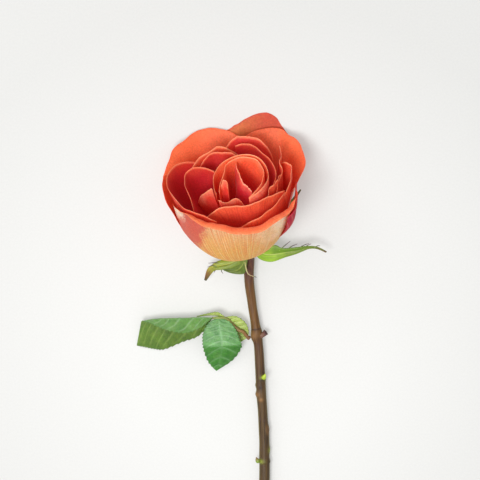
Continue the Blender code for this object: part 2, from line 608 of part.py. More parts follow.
def set_origin(rose):
    """Moves everything so that the origin is under the middle of the whole, on the surface it lies on."""
    corners = [Vector(c) for obj in rose.objects for c in obj.bound_box]
    low = Vector(min(c[i] for c in corners) for i in range(3))
    high = Vector(max(c[i] for c in corners) for i in range(3))
    shift = Vector(((low.x + high.x) / 2, (low.y + high.y) / 2, low.z))
    for obj in rose.objects:
        obj.data.transform(Matrix.Translation(-shift))
    print("origin shift mm", tuple(round(v / MM, 4) for v in shift))
    print("size mm", tuple(round(v / MM, 2) for v in high - low))


def main():
    for obj in list(bpy.data.objects):
        bpy.data.objects.remove(obj)
    rose = bpy.data.collections.new("rose")
    bpy.context.scene.collection.children.link(rose)
    pieces = bpy.data.collections.new("pieces")
    bpy.context.scene.collection.children.link(pieces)

    paint(build_bloom(rose, pieces), "petal_red")
    paint(build_calyx(rose, pieces), "sepal_green")
    paint(build_stem(rose, pieces), "stem_brown")
    paint(build_leaf(rose, pieces), "leaf_green")
    for name in BUDS:
        paint(build_bud(name, rose), "bud_green")
    bpy.data.collections.remove(pieces)
    set_origin(rose)
    for obj in rose.objects:
        print(obj.name, "triangles", len(obj.data.polygons))


if __name__ == "__main__":
    main()
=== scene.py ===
# %% [markdown]
# # A cut rose, lying on a pale table
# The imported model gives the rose's solids: bloom, calyx, stem, leaf and two buds. This script dresses each
# one in finer surfaces with the same form: thin petals with veins, sepals with hairs, bark, leaf veins and
# saw-toothed edges. Every surface is a formula of two parameters worked out on a grid with numpy.

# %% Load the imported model
import math
from dataclasses import dataclass

import bpy
import numpy as np
from mathutils import Matrix, Vector


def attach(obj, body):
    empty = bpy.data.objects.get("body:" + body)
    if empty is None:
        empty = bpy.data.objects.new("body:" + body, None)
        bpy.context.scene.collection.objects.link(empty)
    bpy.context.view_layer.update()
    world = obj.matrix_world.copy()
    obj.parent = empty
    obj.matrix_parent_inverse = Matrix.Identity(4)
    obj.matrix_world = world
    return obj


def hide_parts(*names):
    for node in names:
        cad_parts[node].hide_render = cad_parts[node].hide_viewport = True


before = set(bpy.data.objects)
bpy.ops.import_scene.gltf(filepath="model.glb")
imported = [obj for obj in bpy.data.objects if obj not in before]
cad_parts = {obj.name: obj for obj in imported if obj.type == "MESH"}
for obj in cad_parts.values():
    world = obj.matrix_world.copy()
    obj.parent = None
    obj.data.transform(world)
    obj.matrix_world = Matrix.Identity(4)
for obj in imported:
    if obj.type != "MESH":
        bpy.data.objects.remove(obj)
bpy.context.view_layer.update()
MM = 0.001
print("nodes:", sorted(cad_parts))

# %% [markdown]
# ## The drawing's frame
# The shapes below are drawn in millimetres with the bloom's base above the point (0, 0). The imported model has
# its origin under the middle of the whole rose, so one shift carries the drawing onto the model.

# %% Where the bloom's base is, and how the bloom lies
MODEL_ORIGIN = np.array([-8.8643, -56.8706, 0.0])
BLOOM_BASE = np.array([0.0, 0.0, 15.5])
BLOOM_LEAN = math.radians(57)
BLOOM_TURN = math.radians(6)
print("bloom's base in the model, mm:", BLOOM_BASE - MODEL_ORIGIN)

# %% [markdown]
# ## The camera
# The rose lies down, so the camera looks down on it, tilted a little towards the cut end. One pixel of the
# picture spans 0.55 mm on the rose. The lens and the place follow from that and from a long distance, which
# gives the flat look of a product photograph.

# %% Camera
PIXEL = 0.55 * MM
PICTURE = 480
BASE_PIXEL = (247.5, 242.3)
CAMERA_DISTANCE = 2.4
CAMERA_TILT = math.radians(12)
SENSOR = 36.0

camera_data = bpy.data.cameras.new("camera")
camera = bpy.data.objects.new("camera", camera_data)
bpy.context.scene.collection.objects.link(camera)
bpy.context.scene.camera = camera
back = np.array([0.0, math.sin(CAMERA_TILT), math.cos(CAMERA_TILT)])
up = np.array([0.0, math.cos(CAMERA_TILT), -math.sin(CAMERA_TILT)])
right = np.array([1.0, 0.0, 0.0])
target = (BLOOM_BASE - MODEL_ORIGIN) * MM
target = target + right * (PICTURE / 2 - BASE_PIXEL[0]) * PIXEL - up * (PICTURE / 2 - BASE_PIXEL[1]) * PIXEL
camera.location = target + back * CAMERA_DISTANCE
camera.rotation_euler = (-CAMERA_TILT, 0, 0)
camera_data.sensor_width = SENSOR
camera_data.lens = SENSOR * CAMERA_DISTANCE / (PICTURE * PIXEL)
camera_data.clip_end = 20
print("lens, mm:", round(camera_data.lens, 1))

# %% [markdown]
# ## Colours and nodes
# Colours are written as the hex values that a screen shows. Light adds up in linear numbers, so one function
# turns them. One small function adds a shader node with its settings and its links, and another lays a list
# of colours over one another.

# %% Colour and node helpers
def linear(shade):
    """A screen colour such as "#E2552F", or a grey number, as linear red, green and blue with alpha."""
    if isinstance(shade, float):
        return (shade, shade, shade, 1.0)
    screen = np.array([int(shade[i:i + 2], 16) / 255 for i in (1, 3, 5)])
    light = np.where(screen <= 0.04045, screen / 12.92, ((screen + 0.055) / 1.055) ** 2.4)
    return (*light, 1.0)


def add(tree, kind, inputs=(), stops=None, **settings):
    """Adds one shader node: its settings, its inputs and a ramp's stops of position and shade.

    Inputs are given by name or as a list in the sockets' order, which for a MapRange is the value, from min,
    from max, to min and to max. Each is a value, a socket to link, or a node, whose first output is linked.
    """
    made = tree.nodes.new("ShaderNode" + kind)
    for key, value in settings.items():
        setattr(made, key, value)
    for key, value in inputs.items() if isinstance(inputs, dict) else enumerate(inputs):
        if isinstance(value, bpy.types.Node):
            value = value.outputs[0]
        if isinstance(value, bpy.types.NodeSocket):
            tree.links.new(value, made.inputs[key])
        else:
            made.inputs[key].default_value = value
    if stops:
        elements = made.color_ramp.elements
        elements.remove(elements[-1])
        elements[0].position, elements[0].color = stops[0][0], linear(stops[0][1])
        for position, shade in stops[1:]:
            elements.new(position).color = linear(shade)
    return made


def product(tree, *factors):
    """The factors multiplied one after another."""
    result = factors[0]
    for factor in factors[1:]:
        result = add(tree, "Math", [result, factor], operation="MULTIPLY")
    return result


def lay(tree, colour, layers):
    """Colours laid over one another, each by its share from 0 to 1."""
    for share, tint in layers:
        tint = linear(tint) if isinstance(tint, str) else tint
        colour = add(tree, "Mix", {0: share, 6: colour, 7: tint}, data_type="RGBA").outputs[2]
    return colour


def new_material(name):
    """An empty material and its tree."""
    material = bpy.data.materials.new(name)
    material.use_nodes = True
    material.node_tree.nodes.clear()
    return material, material.node_tree


def show(tree, inputs):
    """Gives the material its shader with these values and links."""
    add(tree, "OutputMaterial", {"Surface": add(tree, "BsdfPrincipled", inputs)})


# %% [markdown]
# ## Table and light
# The photograph is a product shot on a near-white ground with hardly a shadow. A large pale floor, a white
# sky all round and two wide soft lamps give that. The key lamp hangs over the rose, a little to its left, so
# that rims catch light and the hollows between petals stay deep; the weaker side lamp stands at the upper
# left. The floor also glows faintly, most under the rose and less further out: a painted glow that lifts the
# rose's shadow on the floor and lights the petals a little from below.

# %% Floor
GLOW_CENTRE = (0.01, 0.0, 0.0)
GLOW_NEAR, GLOW_FAR = 0.07, 0.19
FLOOR_HALF = 3.0
# Uncoated paper is matt: it takes a soft shadow and shows no highlight.
floor_paint, tree = new_material("matt_white_paper")
place = add(tree, "TexCoord").outputs["Object"]
fibre = add(tree, "TexNoise", {"Vector": place, "Scale": 900.0, "Detail": 3.0})
shade = add(tree, "ValToRGB", {"Fac": fibre}, [(0.3, "#B0B0AE"), (0.7, "#B4B4B2")])
away = add(tree, "VectorMath", [place, GLOW_CENTRE], operation="DISTANCE").outputs["Value"]
# Painted glow: the floor gives off more light under the rose than further out, lifting the rose's shadow.
glow = add(tree, "MapRange", [away, GLOW_NEAR, GLOW_FAR, 0.32, 0.2])
show(tree, {"Base Color": shade, "Roughness": 0.9, "Emission Color": linear("#FAFAF8"),
            "Emission Strength": glow})
floor_mesh = bpy.data.meshes.new("floor")
floor_corners = [(x * FLOOR_HALF, y * FLOOR_HALF, 0) for x, y in ((-1, -1), (1, -1), (1, 1), (-1, 1))]
floor_mesh.from_pydata(floor_corners, [], [(0, 1, 2, 3)])
floor = bpy.data.objects.new("floor", floor_mesh)
floor_mesh.materials.append(floor_paint)
bpy.context.scene.collection.objects.link(floor)

# %% Lights
SKY_STRENGTH = 0.6
LAMPS = [
    # Name, place and size in metres, power in watts.
    ("key_lamp", (-0.45, -0.1, 1.9), 0.7, 30.0),
    ("side_lamp", (-1.0, 1.0, 1.2), 1.0, 8.0),
]
world = bpy.data.worlds.new("studio")
world.use_nodes = True
sky = world.node_tree.nodes["Background"]
sky.inputs["Color"].default_value = linear(1.0)
sky.inputs["Strength"].default_value = SKY_STRENGTH
bpy.context.scene.world = world
LAMP_TARGET = Vector((0, 0, 0.02))
for name, place, size, energy in LAMPS:
    lamp_data = bpy.data.lights.new(name, "AREA")
    lamp_data.size = size
    lamp_data.energy = energy
    lamp = bpy.data.objects.new(name, lamp_data)
    lamp.location = place
    lamp.rotation_euler = (LAMP_TARGET - Vector(place)).to_track_quat("-Z", "Y").to_euler()
    bpy.context.scene.collection.objects.link(lamp)
bpy.context.scene.view_settings.view_transform = "Standard"

# %% [markdown]
# ## Curves and grids
# Everything on the rose is one of two things: a thin blade (petal, sepal, leaflet) or a tube (stem, stalk,
# thread, bud). A blade is a grid of points given a front, a back and a rounded rim. A tube is a grid of
# rings closed with a cap at each end. Each grid carries a few numbers per point, which the materials read.

# %% Curve helpers
def smooth(x):
    """Goes from 0 to 1 with level ends."""
    x = np.clip(x, 0, 1)
    return x * x * (3 - 2 * x)


def bump_at(x, centre, width):
    """A rounded hump of height 1 at the centre, down to a third at the width."""
    return np.exp(-(((x - centre) / width) ** 2))


def unit(vectors):
    """The vectors at length 1."""
    return vectors / np.maximum(np.linalg.norm(vectors, axis=-1, keepdims=True), 1e-9)


def bezier(p0, p1, p2, p3, u):
    """A cubic Bezier curve's value at u."""
    v = 1 - u
    return v**3 * p0 + 3 * v * v * u * p1 + 3 * v * u * u * p2 + u**3 * p3


def through(values, t):
    """The smooth curve through values set at equal steps over t from -1 to 1, by a cubic per step."""
    values = np.asarray(values, float)
    if len(values) == 1:
        return values[0] + 0 * np.asarray(t)
    steps = len(values) - 1
    x = (np.asarray(t) + 1) / 2 * steps
    i = np.clip(np.floor(x).astype(int), 0, steps - 1)
    f = x - i
    if values.ndim > 1:
        f = f[..., None]
    padded = np.concatenate([2 * values[:1] - values[1:2], values, 2 * values[-1:] - values[-2:-1]])
    a, b, c, d = padded[i], padded[i + 1], padded[i + 2], padded[i + 3]
    return 0.5 * (2 * b + (c - a) * f + (2 * a - 5 * b + 4 * c - d) * f**2 + (3 * b - a - 3 * c + d) * f**3)


def ripples(x, y, seed, count=7):
    """A smooth random relief, mostly between -1 and 1: a sum of sines of seeded direction and phase."""
    draw = np.random.default_rng(seed)
    turn, phase = draw.uniform(0, 2 * np.pi, count), draw.uniform(0, 2 * np.pi, count)
    pitch = draw.uniform(0.7, 2, count)
    x, y = np.broadcast_arrays(x, y)
    wave = np.sin((x[..., None] * np.cos(turn) + y[..., None] * np.sin(turn)) * pitch + phase)
    return wave.sum(-1) / math.sqrt(count)


# %% Mesh helpers
def new_piece(name, shell, material, node):
    """A finished piece from a shell in drawing millimetres: mesh, numbers per point, material and duties."""
    points, faces, values = shell
    mesh = bpy.data.meshes.new(name)
    mesh.from_pydata(((points - MODEL_ORIGIN) * MM).tolist(), [], faces)
    for key, numbers in values.items():
        layer = mesh.attributes.new(key, "FLOAT", "POINT")
        layer.data.foreach_set("value", np.ascontiguousarray(numbers, np.float32).ravel())
    mesh.shade_smooth()
    mesh.materials.append(material)
    piece = bpy.data.objects.new(name, mesh)
    bpy.context.scene.collection.objects.link(piece)
    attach(piece, "root")
    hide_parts(node)


RIM_REACH = 0.9


def blade_shell(points, thickness, values):
    """A closed blade about a grid of middle points.

    The front stands half the thickness along the normal and the back as far against it. A line of points
    pushed outwards all round joins them into a rounded rim. The number "side" is 1 in front, 0 behind.
    """
    rows, columns = points.shape[:2]
    normal = unit(np.cross(np.gradient(points, axis=0), np.gradient(points, axis=1)))
    half = (np.broadcast_to(thickness, (rows, columns)) / 2).reshape(-1, 1)
    index = np.arange(rows * columns).reshape(rows, columns)
    border = np.concatenate([index[0, :-1], index[:-1, -1], index[-1, :0:-1], index[:0:-1, 0]])
    inner = np.concatenate([index[1, :-1], index[:-1, -2], index[-2, :0:-1], index[:0:-1, 1]])
    flat, normal = points.reshape(-1, 3), normal.reshape(-1, 3)
    rim = flat[border] + unit(flat[border] - flat[inner]) * half[border] * RIM_REACH
    verts = np.concatenate([flat + normal * half, flat - normal * half, rim])

    front = np.stack([index[:-1, :-1], index[1:, :-1], index[1:, 1:], index[:-1, 1:]], -1).reshape(-1, 4)
    behind = front[:, ::-1] + rows * columns
    here, ahead = border, np.roll(border, -1)
    rim_here = np.arange(len(border)) + 2 * rows * columns
    rim_ahead = np.roll(rim_here, -1)
    front_rim = np.stack([here, ahead, rim_ahead, rim_here], -1)
    back_rim = np.stack([rim_here, rim_ahead, ahead + rows * columns, here + rows * columns], -1)
    faces = np.concatenate([front, behind, front_rim, back_rim]).tolist()

    spread = {}
    for key, numbers in values.items():
        numbers = np.broadcast_to(numbers, (rows, columns)).ravel()
        spread[key] = np.concatenate([numbers, numbers, numbers[border]])
    sides = np.repeat([1.0, 0.0, 0.5], [rows * columns, rows * columns, len(border)])
    spread["side"] = sides
    return verts, faces, spread


def tube_shell(points, values=None, dome=0.3):
    """A closed tube from a grid of rings, with a cap at each end domed by this share of its radius.

    Without other numbers per point it carries "along", which grows from 0 at its first ring to 1.
    """
    rings, sides = points.shape[:2]
    values = values or {"along": np.linspace(0, 1, rings)[:, None]}
    index = np.arange(rings * sides).reshape(rings, sides)
    after = np.roll(index, -1, axis=1)
    wall = np.stack([index[:-1], index[1:], after[1:], after[:-1]], -1).reshape(-1, 4).tolist()
    first, last = rings * sides, rings * sides + 1
    start, end = points[0].mean(0), points[-1].mean(0)
    reach = [np.linalg.norm(points[i] - points[i].mean(0), axis=1).mean() for i in (0, -1)]
    start = start + unit(start - points[1].mean(0)) * reach[0] * dome
    end = end + unit(end - points[-2].mean(0)) * reach[1] * dome
    caps = [(first, a, b) for a, b in zip(index[0].tolist(), after[0].tolist())]
    caps += [(last, b, a) for a, b in zip(index[-1].tolist(), after[-1].tolist())]
    verts = np.concatenate([points.reshape(-1, 3), [start, end]])
    spread = {}
    for key, numbers in values.items():
        numbers = np.broadcast_to(numbers, (rings, sides))
        spread[key] = np.concatenate([numbers.ravel(), [numbers[0].mean(), numbers[-1].mean()]])
    return verts, wall + caps, spread


def tube_points(centres, radii, rings, sides):
    """Rings of points round a curved centre line: the grid, the line, the ring directions and angles.

    Angle 0 points to the right of the way the tube runs on screen, and a quarter turn points up.
    """
    s = np.linspace(-1, 1, rings)
    line, radius = through(centres, s), through(radii, s)
    tangent = unit(np.gradient(line, axis=0))
    side = unit(np.cross(tangent, np.array([0.0, 0.0, 1.0])))
    above = np.cross(side, tangent)
    angle = np.linspace(0, 2 * np.pi, sides, endpoint=False)
    ring = side[:, None] * -np.cos(angle)[None, :, None] + above[:, None] * np.sin(angle)[None, :, None]
    return line[:, None] + ring * radius[:, None, None], line, ring, angle


def bloom_to_lying(points):
    """Turns points of the bloom's own frame to how the bloom lies."""
    turn = np.array(Matrix.Rotation(BLOOM_TURN, 3, "Z") @ Matrix.Rotation(-BLOOM_LEAN, 3, "X"))
    return points @ turn.T + BLOOM_BASE


PRESS_SOFTNESS = 1.2


def press(points, rest):
    """Presses points softly onto this height: z turns to rest + s ln(1 + e^((z - rest) / s)), s softness."""
    points[..., 2] = rest + PRESS_SOFTNESS * np.logaddexp(0, (points[..., 2] - rest) / PRESS_SOFTNESS)
    return points


# %% [markdown]
# ## The petals' form
# A rose petal is a spoon: it leaves the base almost level, swells, and rises to a rim that flares or rolls
# back. Sculpting would give that too, but a formula keeps 23 of them alike in kind and lets each be
# drawn by a few numbers: which way it faces, how wide it is, and its rim's radius and height in steps across.
# Outer petals grow lower and wider than inner ones, so each ring of petals shares how it leaves the core.
# What would pass under the table is pressed softly onto it, each petal to its own height in the stack.

# %% Rings of petals
@dataclass(frozen=True)
class Ring:
    """Where one ring of petals grows from the core, and how full its petals are, in mm and degrees."""
    radius: float
    height: float
    angle: float
    belly: float
    neck: float


RINGS = {
    "guard": Ring(radius=6.8, height=0.8, angle=86, belly=23, neck=20),
    "under": Ring(radius=6.4, height=1.8, angle=76, belly=18, neck=20),
    "second": Ring(radius=6.0, height=3.0, angle=66, belly=17, neck=19),
    "third": Ring(radius=5.2, height=6.0, angle=45, belly=13, neck=18),
    "heart": Ring(radius=4.4, height=10.0, angle=24, belly=11, neck=16),
    "tongue": Ring(radius=3.0, height=13.0, angle=12, belly=12, neck=14),
}

# %% The petals
@dataclass(frozen=True)
class Petal:
    """One petal: azimuth and half span in degrees, then rim radii and rim heights in mm from side to side."""
    name: str
    ring: str
    at: float
    span: float
    radii: tuple
    heights: tuple
    flare: float = 0.0
    roll: tuple = (0.0,)
    claw: float = 0.75
    belly: tuple = ()
    inside: float = 0.0
    rest: float = 0.35
    wave: float = 0.0
    waves: int = 3
    centre: tuple = (0.0, 0.0)
    lip: float = 10.0
    ragged: float = 1.0
    skin: str = "inner"


PETALS = [
    Petal("guard_back_top", "guard", 80, 29, (50, 54, 60.8, 59, 50, 47.5, 47),
          (36, 40, 43, 44, 43.3, 41, 38), flare=55, wave=0.3, lip=6, skin="veined"),
    Petal("guard_back_left", "guard", 125, 42, (40, 47, 51, 50, 49.2, 47.6, 43.5),
          (40, 43, 44, 43.5, 42, 38, 32), flare=42, wave=0.5, rest=1.4, inside=0.9, lip=8, skin="sunlit"),
    Petal("guard_back_right", "guard", 46.5, 38, (30, 38.4, 43.6, 46.4, 48.5, 46.5, 42),
          (36, 40, 42, 43, 43, 43, 41), flare=36, wave=0.4, waves=4, rest=2.6, inside=1.8, lip=8,
          skin="sunlit"),
    Petal("guard_left", "under", 165, 30, (41, 42.6, 43.2, 43, 42.2, 40.4, 38),
          (34, 38.5, 42.5, 44, 44, 41, 33), flare=12, wave=0.3, belly=(18, 18, 18, 18, 17, 14, 10),
          rest=3.4, lip=6, skin="sunlit"),
    Petal("guard_right", "under", -16, 27, (32, 34, 32.6, 31.2, 30.2, 30, 30),
          (38, 41.5, 43.5, 44, 43.5, 42, 37), wave=0.3, belly=(3, 6, 10, 12.5, 14, 15, 15), rest=3.4,
          inside=0.9, lip=8, skin="crimson"),
    Petal("guard_front", "guard", -98, 69.5, (37.6, 33.4, 32.2, 33.2, 34.2, 33, 30.6),
          (45, 50.5, 53.5, 54.5, 54.5, 53.5, 49), roll=(10, 70, 120, 140, 130, 105, 40), claw=1.0,
          belly=(27, 30, 28.5, 23, 19, 16, 13), wave=0.2, waves=5, lip=0, ragged=3.0, skin="golden"),
    Petal("second_left", "second", 186, 55.5, (33.5, 39.3, 40.8, 38.4, 35.5, 31.5, 29.9),
          (40, 46, 48, 48, 48, 47, 46), flare=5, wave=0.3, rest=4.4, lip=8, skin="shaded"),
    Petal("second_back_left", "second", 125, 38, (28, 29, 29.6, 29.8, 31), (40, 48, 48, 47, 42), flare=10,
          wave=0.3, rest=5.4, inside=0.9, lip=8),
    Petal("second_back", "second", 79, 26, (31, 33.6, 34.7, 35, 32), (38, 46.5, 47.8, 47, 42), flare=20,
          wave=0.3, rest=4.4, lip=12, skin="shaded"),
    Petal("second_right", "second", 5, 30, (24, 26.5, 28.6, 29.5, 28.5), (42, 46.5, 48, 47.3, 43),
          wave=0.2, rest=4.4, inside=0.9, lip=6),
    Petal("second_fold", "second", 15.5, 35.5, (20.5, 20.6, 21.4, 24.3, 25, 30.5, 36.5),
          (44, 45, 45.4, 47, 48.4, 46.2, 44.2), wave=0.2, rest=5.4, inside=1.8, lip=6),
    Petal("second_front_right", "second", -62, 44, (30, 28.6, 28.4, 27, 26.2, 25.6, 25),
          (36, 42, 45, 46, 46.5, 47, 45), rest=4.4, inside=2.7, lip=8),
    Petal("second_front", "third", -82, 67, (28, 22, 19.4, 19, 19.6, 21, 24.4),
          (34, 46, 48, 48, 48, 47.6, 44), flare=-5, lip=12),
    Petal("third_left", "third", 174, 36, (18, 26, 29.7, 30, 29, 29.3, 30.3),
          (46, 48.5, 49, 49, 49, 47, 42), wave=0.2, inside=0.9, skin="shaded"),
    Petal("third_back", "third", 112, 30, (17, 20.5, 24, 26.8, 27), (46, 49, 49, 49, 45), wave=0.2, lip=8,
          skin="shaded"),
    Petal("third_back_right", "third", 39, 53, (16.3, 18.8, 20.3, 21.3, 23.5, 28, 31),
          (42, 47, 48.5, 49, 49, 48.5, 46), wave=0.2, inside=0.9, lip=6, skin="shaded"),
    Petal("third_right", "third", -15.5, 32, (20.5, 17.8, 19.1, 21, 24), (44, 48, 48, 48, 44), wave=0.3,
          waves=4, inside=1.8, lip=8),
    Petal("heart_outer", "heart", 65.5, 140, (15.3, 15.6, 15.8, 16.8, 15, 14.1, 14.2),
          (49, 51, 52, 52, 51.5, 50.5, 47), flare=-5, lip=4, skin="heart"),
    Petal("heart_second", "heart", 66.5, 140, (14.6, 13, 14, 14.6, 12, 8.4, 12.6),
          (49, 51, 52, 52, 51.5, 50.5, 47), flare=-5, inside=1.6, lip=4, skin="heart"),
    Petal("heart_tongue", "tongue", 197, 72, (11.4, 7.2, 5.8, 5.3, 5.4, 5.5, 6.8),
          (51, 50, 49.3, 49, 48.5, 47.5, 46), flare=-30, centre=(6.0, 1.0), lip=0, skin="tongue"),
    Petal("heart_front_left", "heart", -171, 21, (24.6, 22.8, 19.8, 17.6, 17.2),
          (28.8, 38.6, 44.8, 49.4, 52.8), inside=-1.6, lip=8, skin="heart"),
    Petal("heart_front", "heart", -112, 30, (15.6, 14.4, 13.6, 13, 12.6, 12.6, 13.4),
          (45.5, 43.6, 44.5, 46.4, 47.5, 44.9, 40.4), inside=-0.8, lip=20, skin="heart"),
    Petal("heart_curl", "heart", -165, 15, (11.7, 9.6, 8.2, 7.1, 7.8), (42, 47.9, 52.1, 51, 47.7),
          claw=0.5, lip=20, skin="heart"),
]
PETAL_THICK = 0.42
PETAL_RIM_THICK = 0.14
CAD_HALF_PETAL = 0.35
ROLL_FROM, ROLL_LENGTH = 0.84, 0.16
LIP_FROM, LIP_LENGTH = 0.93, 0.07
SLOW_RIPPLE, FINE_RIPPLE = 0.35, 0.14
print("petals:", len(PETALS))

# %% A petal's surface
def petal_points(petal, seed, rows=60, columns=60, fine=4):
    """The petal's middle surface as it lies, with each point's share along it and its place across in mm.

    From root to rim each line is a Bezier curve in a plane through the axis: it leaves the core at its
    ring's angle and reaches the rim at the petal's flare. Its last sixth may roll outwards, and its last
    fourteenth curls by the lip's angle. Slow ripples and shallow notches in the rim are added by sines.
    """
    ring = RINGS[petal.ring]
    v = np.linspace(0, 1, rows * fine + 1)[:, None]
    t = np.linspace(-1, 1, columns + 1)[None, :]
    whole = v * (1.3 - 0.3 * v)
    notch = 0.007 * ripples(t * 6, 0 * t, seed + 50)
    notch = notch + 0.005 * np.abs(ripples(t * 13, 0 * t, seed + 60)) + 0.004
    u = whole * (1 - 0.015 * np.abs(t) ** 16 - notch * petal.ragged)
    rim_radius, rim_height = through(petal.radii, t), through(petal.heights, t)
    belly = through(petal.belly, t) if petal.belly else ring.belly
    leave, arrive = math.radians(ring.angle), math.radians(petal.flare)
    root_radius, root_height = ring.radius - 0.3 * petal.inside, ring.height + petal.inside
    r = bezier(root_radius, root_radius + belly * math.sin(leave),
               rim_radius - ring.neck * math.sin(arrive), rim_radius, u)
    h = bezier(root_height, root_height + belly * math.cos(leave),
               rim_height - ring.neck * math.cos(arrive), rim_height, u)

    length = np.hypot(np.diff(r, axis=0), np.diff(h, axis=0))
    angle = np.arctan2(np.diff(r, axis=0), np.diff(h, axis=0))
    middle = (whole[1:] + whole[:-1]) / 2
    rolled = np.clip((middle - ROLL_FROM) / ROLL_LENGTH, 0, 1) ** 1.5
    curled = np.clip((middle - LIP_FROM) / LIP_LENGTH, 0, 1) ** 1.5
    angle = angle + np.radians(through(petal.roll, t)) * rolled
    angle = angle + math.radians(petal.lip) * curled
    start = np.zeros_like(t)
    r = root_radius + np.concatenate([start, np.cumsum(length * np.sin(angle), 0)])
    h = root_height + np.concatenate([start, np.cumsum(length * np.cos(angle), 0)])
    r = r + petal.wave * np.sin(petal.waves * t * math.pi + petal.at) * whole**4
    half_width = math.radians(petal.span) * np.mean(petal.radii)
    r = r + SLOW_RIPPLE * ripples(whole * 3.2, t * 3.4, seed) * whole
    r = r + FINE_RIPPLE * ripples(whole * 5, t * half_width / 2.4, seed + 70) * smooth((whole - 0.5) / 0.5)

    reach = petal.claw + (1 - petal.claw) * smooth(whole / 0.5)
    azimuth = np.radians(petal.at + petal.span * t * reach)
    shift = smooth(whole / 0.8)
    x = r * np.cos(azimuth) + petal.centre[0] * shift
    y = r * np.sin(azimuth) + petal.centre[1] * shift
    points = bloom_to_lying(np.stack([x, y, h], -1)[::fine])
    rest = petal.rest - CAD_HALF_PETAL + PETAL_THICK / 2
    points = press(points, rest)
    return points, whole[::fine] + 0 * t, half_width * t + 0 * whole[::fine]


# %% [markdown]
# ## The petals' skin
# A petal's colour lies in the cell sap of a thin velvety skin, crimson near the root and orange where light
# comes through; the crimson is partly the petal's own colour and partly painted shade of the hollows. Its
# outer face is paler, and on the guard petals it is almost gold, with fine red veins that fan from the root.
# So the shader reads how far along the petal a point is, how far across, and which face it is on. A little
# light passes through: subsurface scattering in red.

# %% Petal materials
PETAL_SKINS = {
    # Stops from root to rim along the inner face and along the outer face; then the veins' colour outside
    # with their strength, and the colour of the rim's thin lip. The crimson stops near the root are partly
    # painted shade of the hollows, and a paler lip is partly a painted highlight. The sunlit and shaded skins
    # are lighter and darker copies of the inner one: painted light and painted shade for petals that lie in
    # light or in shade. The crimson skin is partly the petal's own redder colour and partly painted shade.
    "inner": (("#B81430", "#C8282E", "#D64832", "#E05A40"), ("#B4202E", "#C83230", "#DC4C34", "#E4603E"),
               "#98101C", 0.4, "#FF9A74"),
    "shaded": (("#BE1438", "#BA1830", "#B6242A", "#C63C30"), ("#A8182E", "#B82830", "#CC3C32", "#D44C34"),
               "#8C0818", 0.4, "#FA8C68"),
    "heart": (("#D42040", "#E03434", "#F0603C", "#F88058"), ("#BC1834", "#CC2830", "#E04838", "#F48468"),
              "#A01020", 0.35, "#FFA078"),
    "tongue": (("#B0102C", "#C01C28", "#C8342E", "#E45840"), ("#8C0C20", "#8C1020", "#A41C28", "#D85848"),
               "#A01020", 0.35, "#FFA080"),
    "sunlit": (("#D83832", "#E65036", "#EA6641", "#EC6C46"), ("#CC442C", "#D85434", "#E4643E", "#E86C48"),
               "#C03420", 0.4, "#DC5C3C"),
    "veined": (("#B84030", "#BC4830", "#B84A30", "#C04834"), ("#D08050", "#D07048", "#D86440", "#D86444"),
               "#A02C2C", 0.7, "#C04A3C"),
    "crimson": (("#A0142C", "#C02A28", "#D84A32", "#E06040"), ("#90102C", "#A01228", "#A0142C", "#8C1030"),
                "#700820", 0.5, "#B02040"),
    "golden": (("#A81828", "#C43430", "#EC5A38", "#F06840"), ("#DAAA4A", "#D6A254", "#D8A474", "#EC8C6C"),
               "#C45838", 0.8, "#F47A50"),
}
# Blushes of another colour over one face: which face, from and to in mm across, how far that leans per
# petal length, how far along it starts, its colour and its share.
BLUSHES = {
    "golden": [("outer", -14.0, -20.0, 31.0, 0.2, "#BC3C38", 0.85),
               ("outer", 33.0, 38.0, 0.0, 0.25, "#F07C58", 0.9),
               ("outer", 10.0, 24.0, 0.0, 0.5, "#FCDCBC", 0.65),
               ("outer", -31.5, -33.5, 0.0, 0.8, "#FAECD0", 0.95)],
    "veined": [("inner", -6.0, 6.0, 0.0, 0.3, "#C88A48", 0.35)],
}
# Light that soaks through a real bloom lifts its shaded hollows. A faint red glow of the skin stands for it.
GLOW = {"golden": 0.02, "veined": 0.04}
USUAL_GLOW = 0.05
RAMP_STEPS = (0.25, 0.55, 0.85, 1.0)


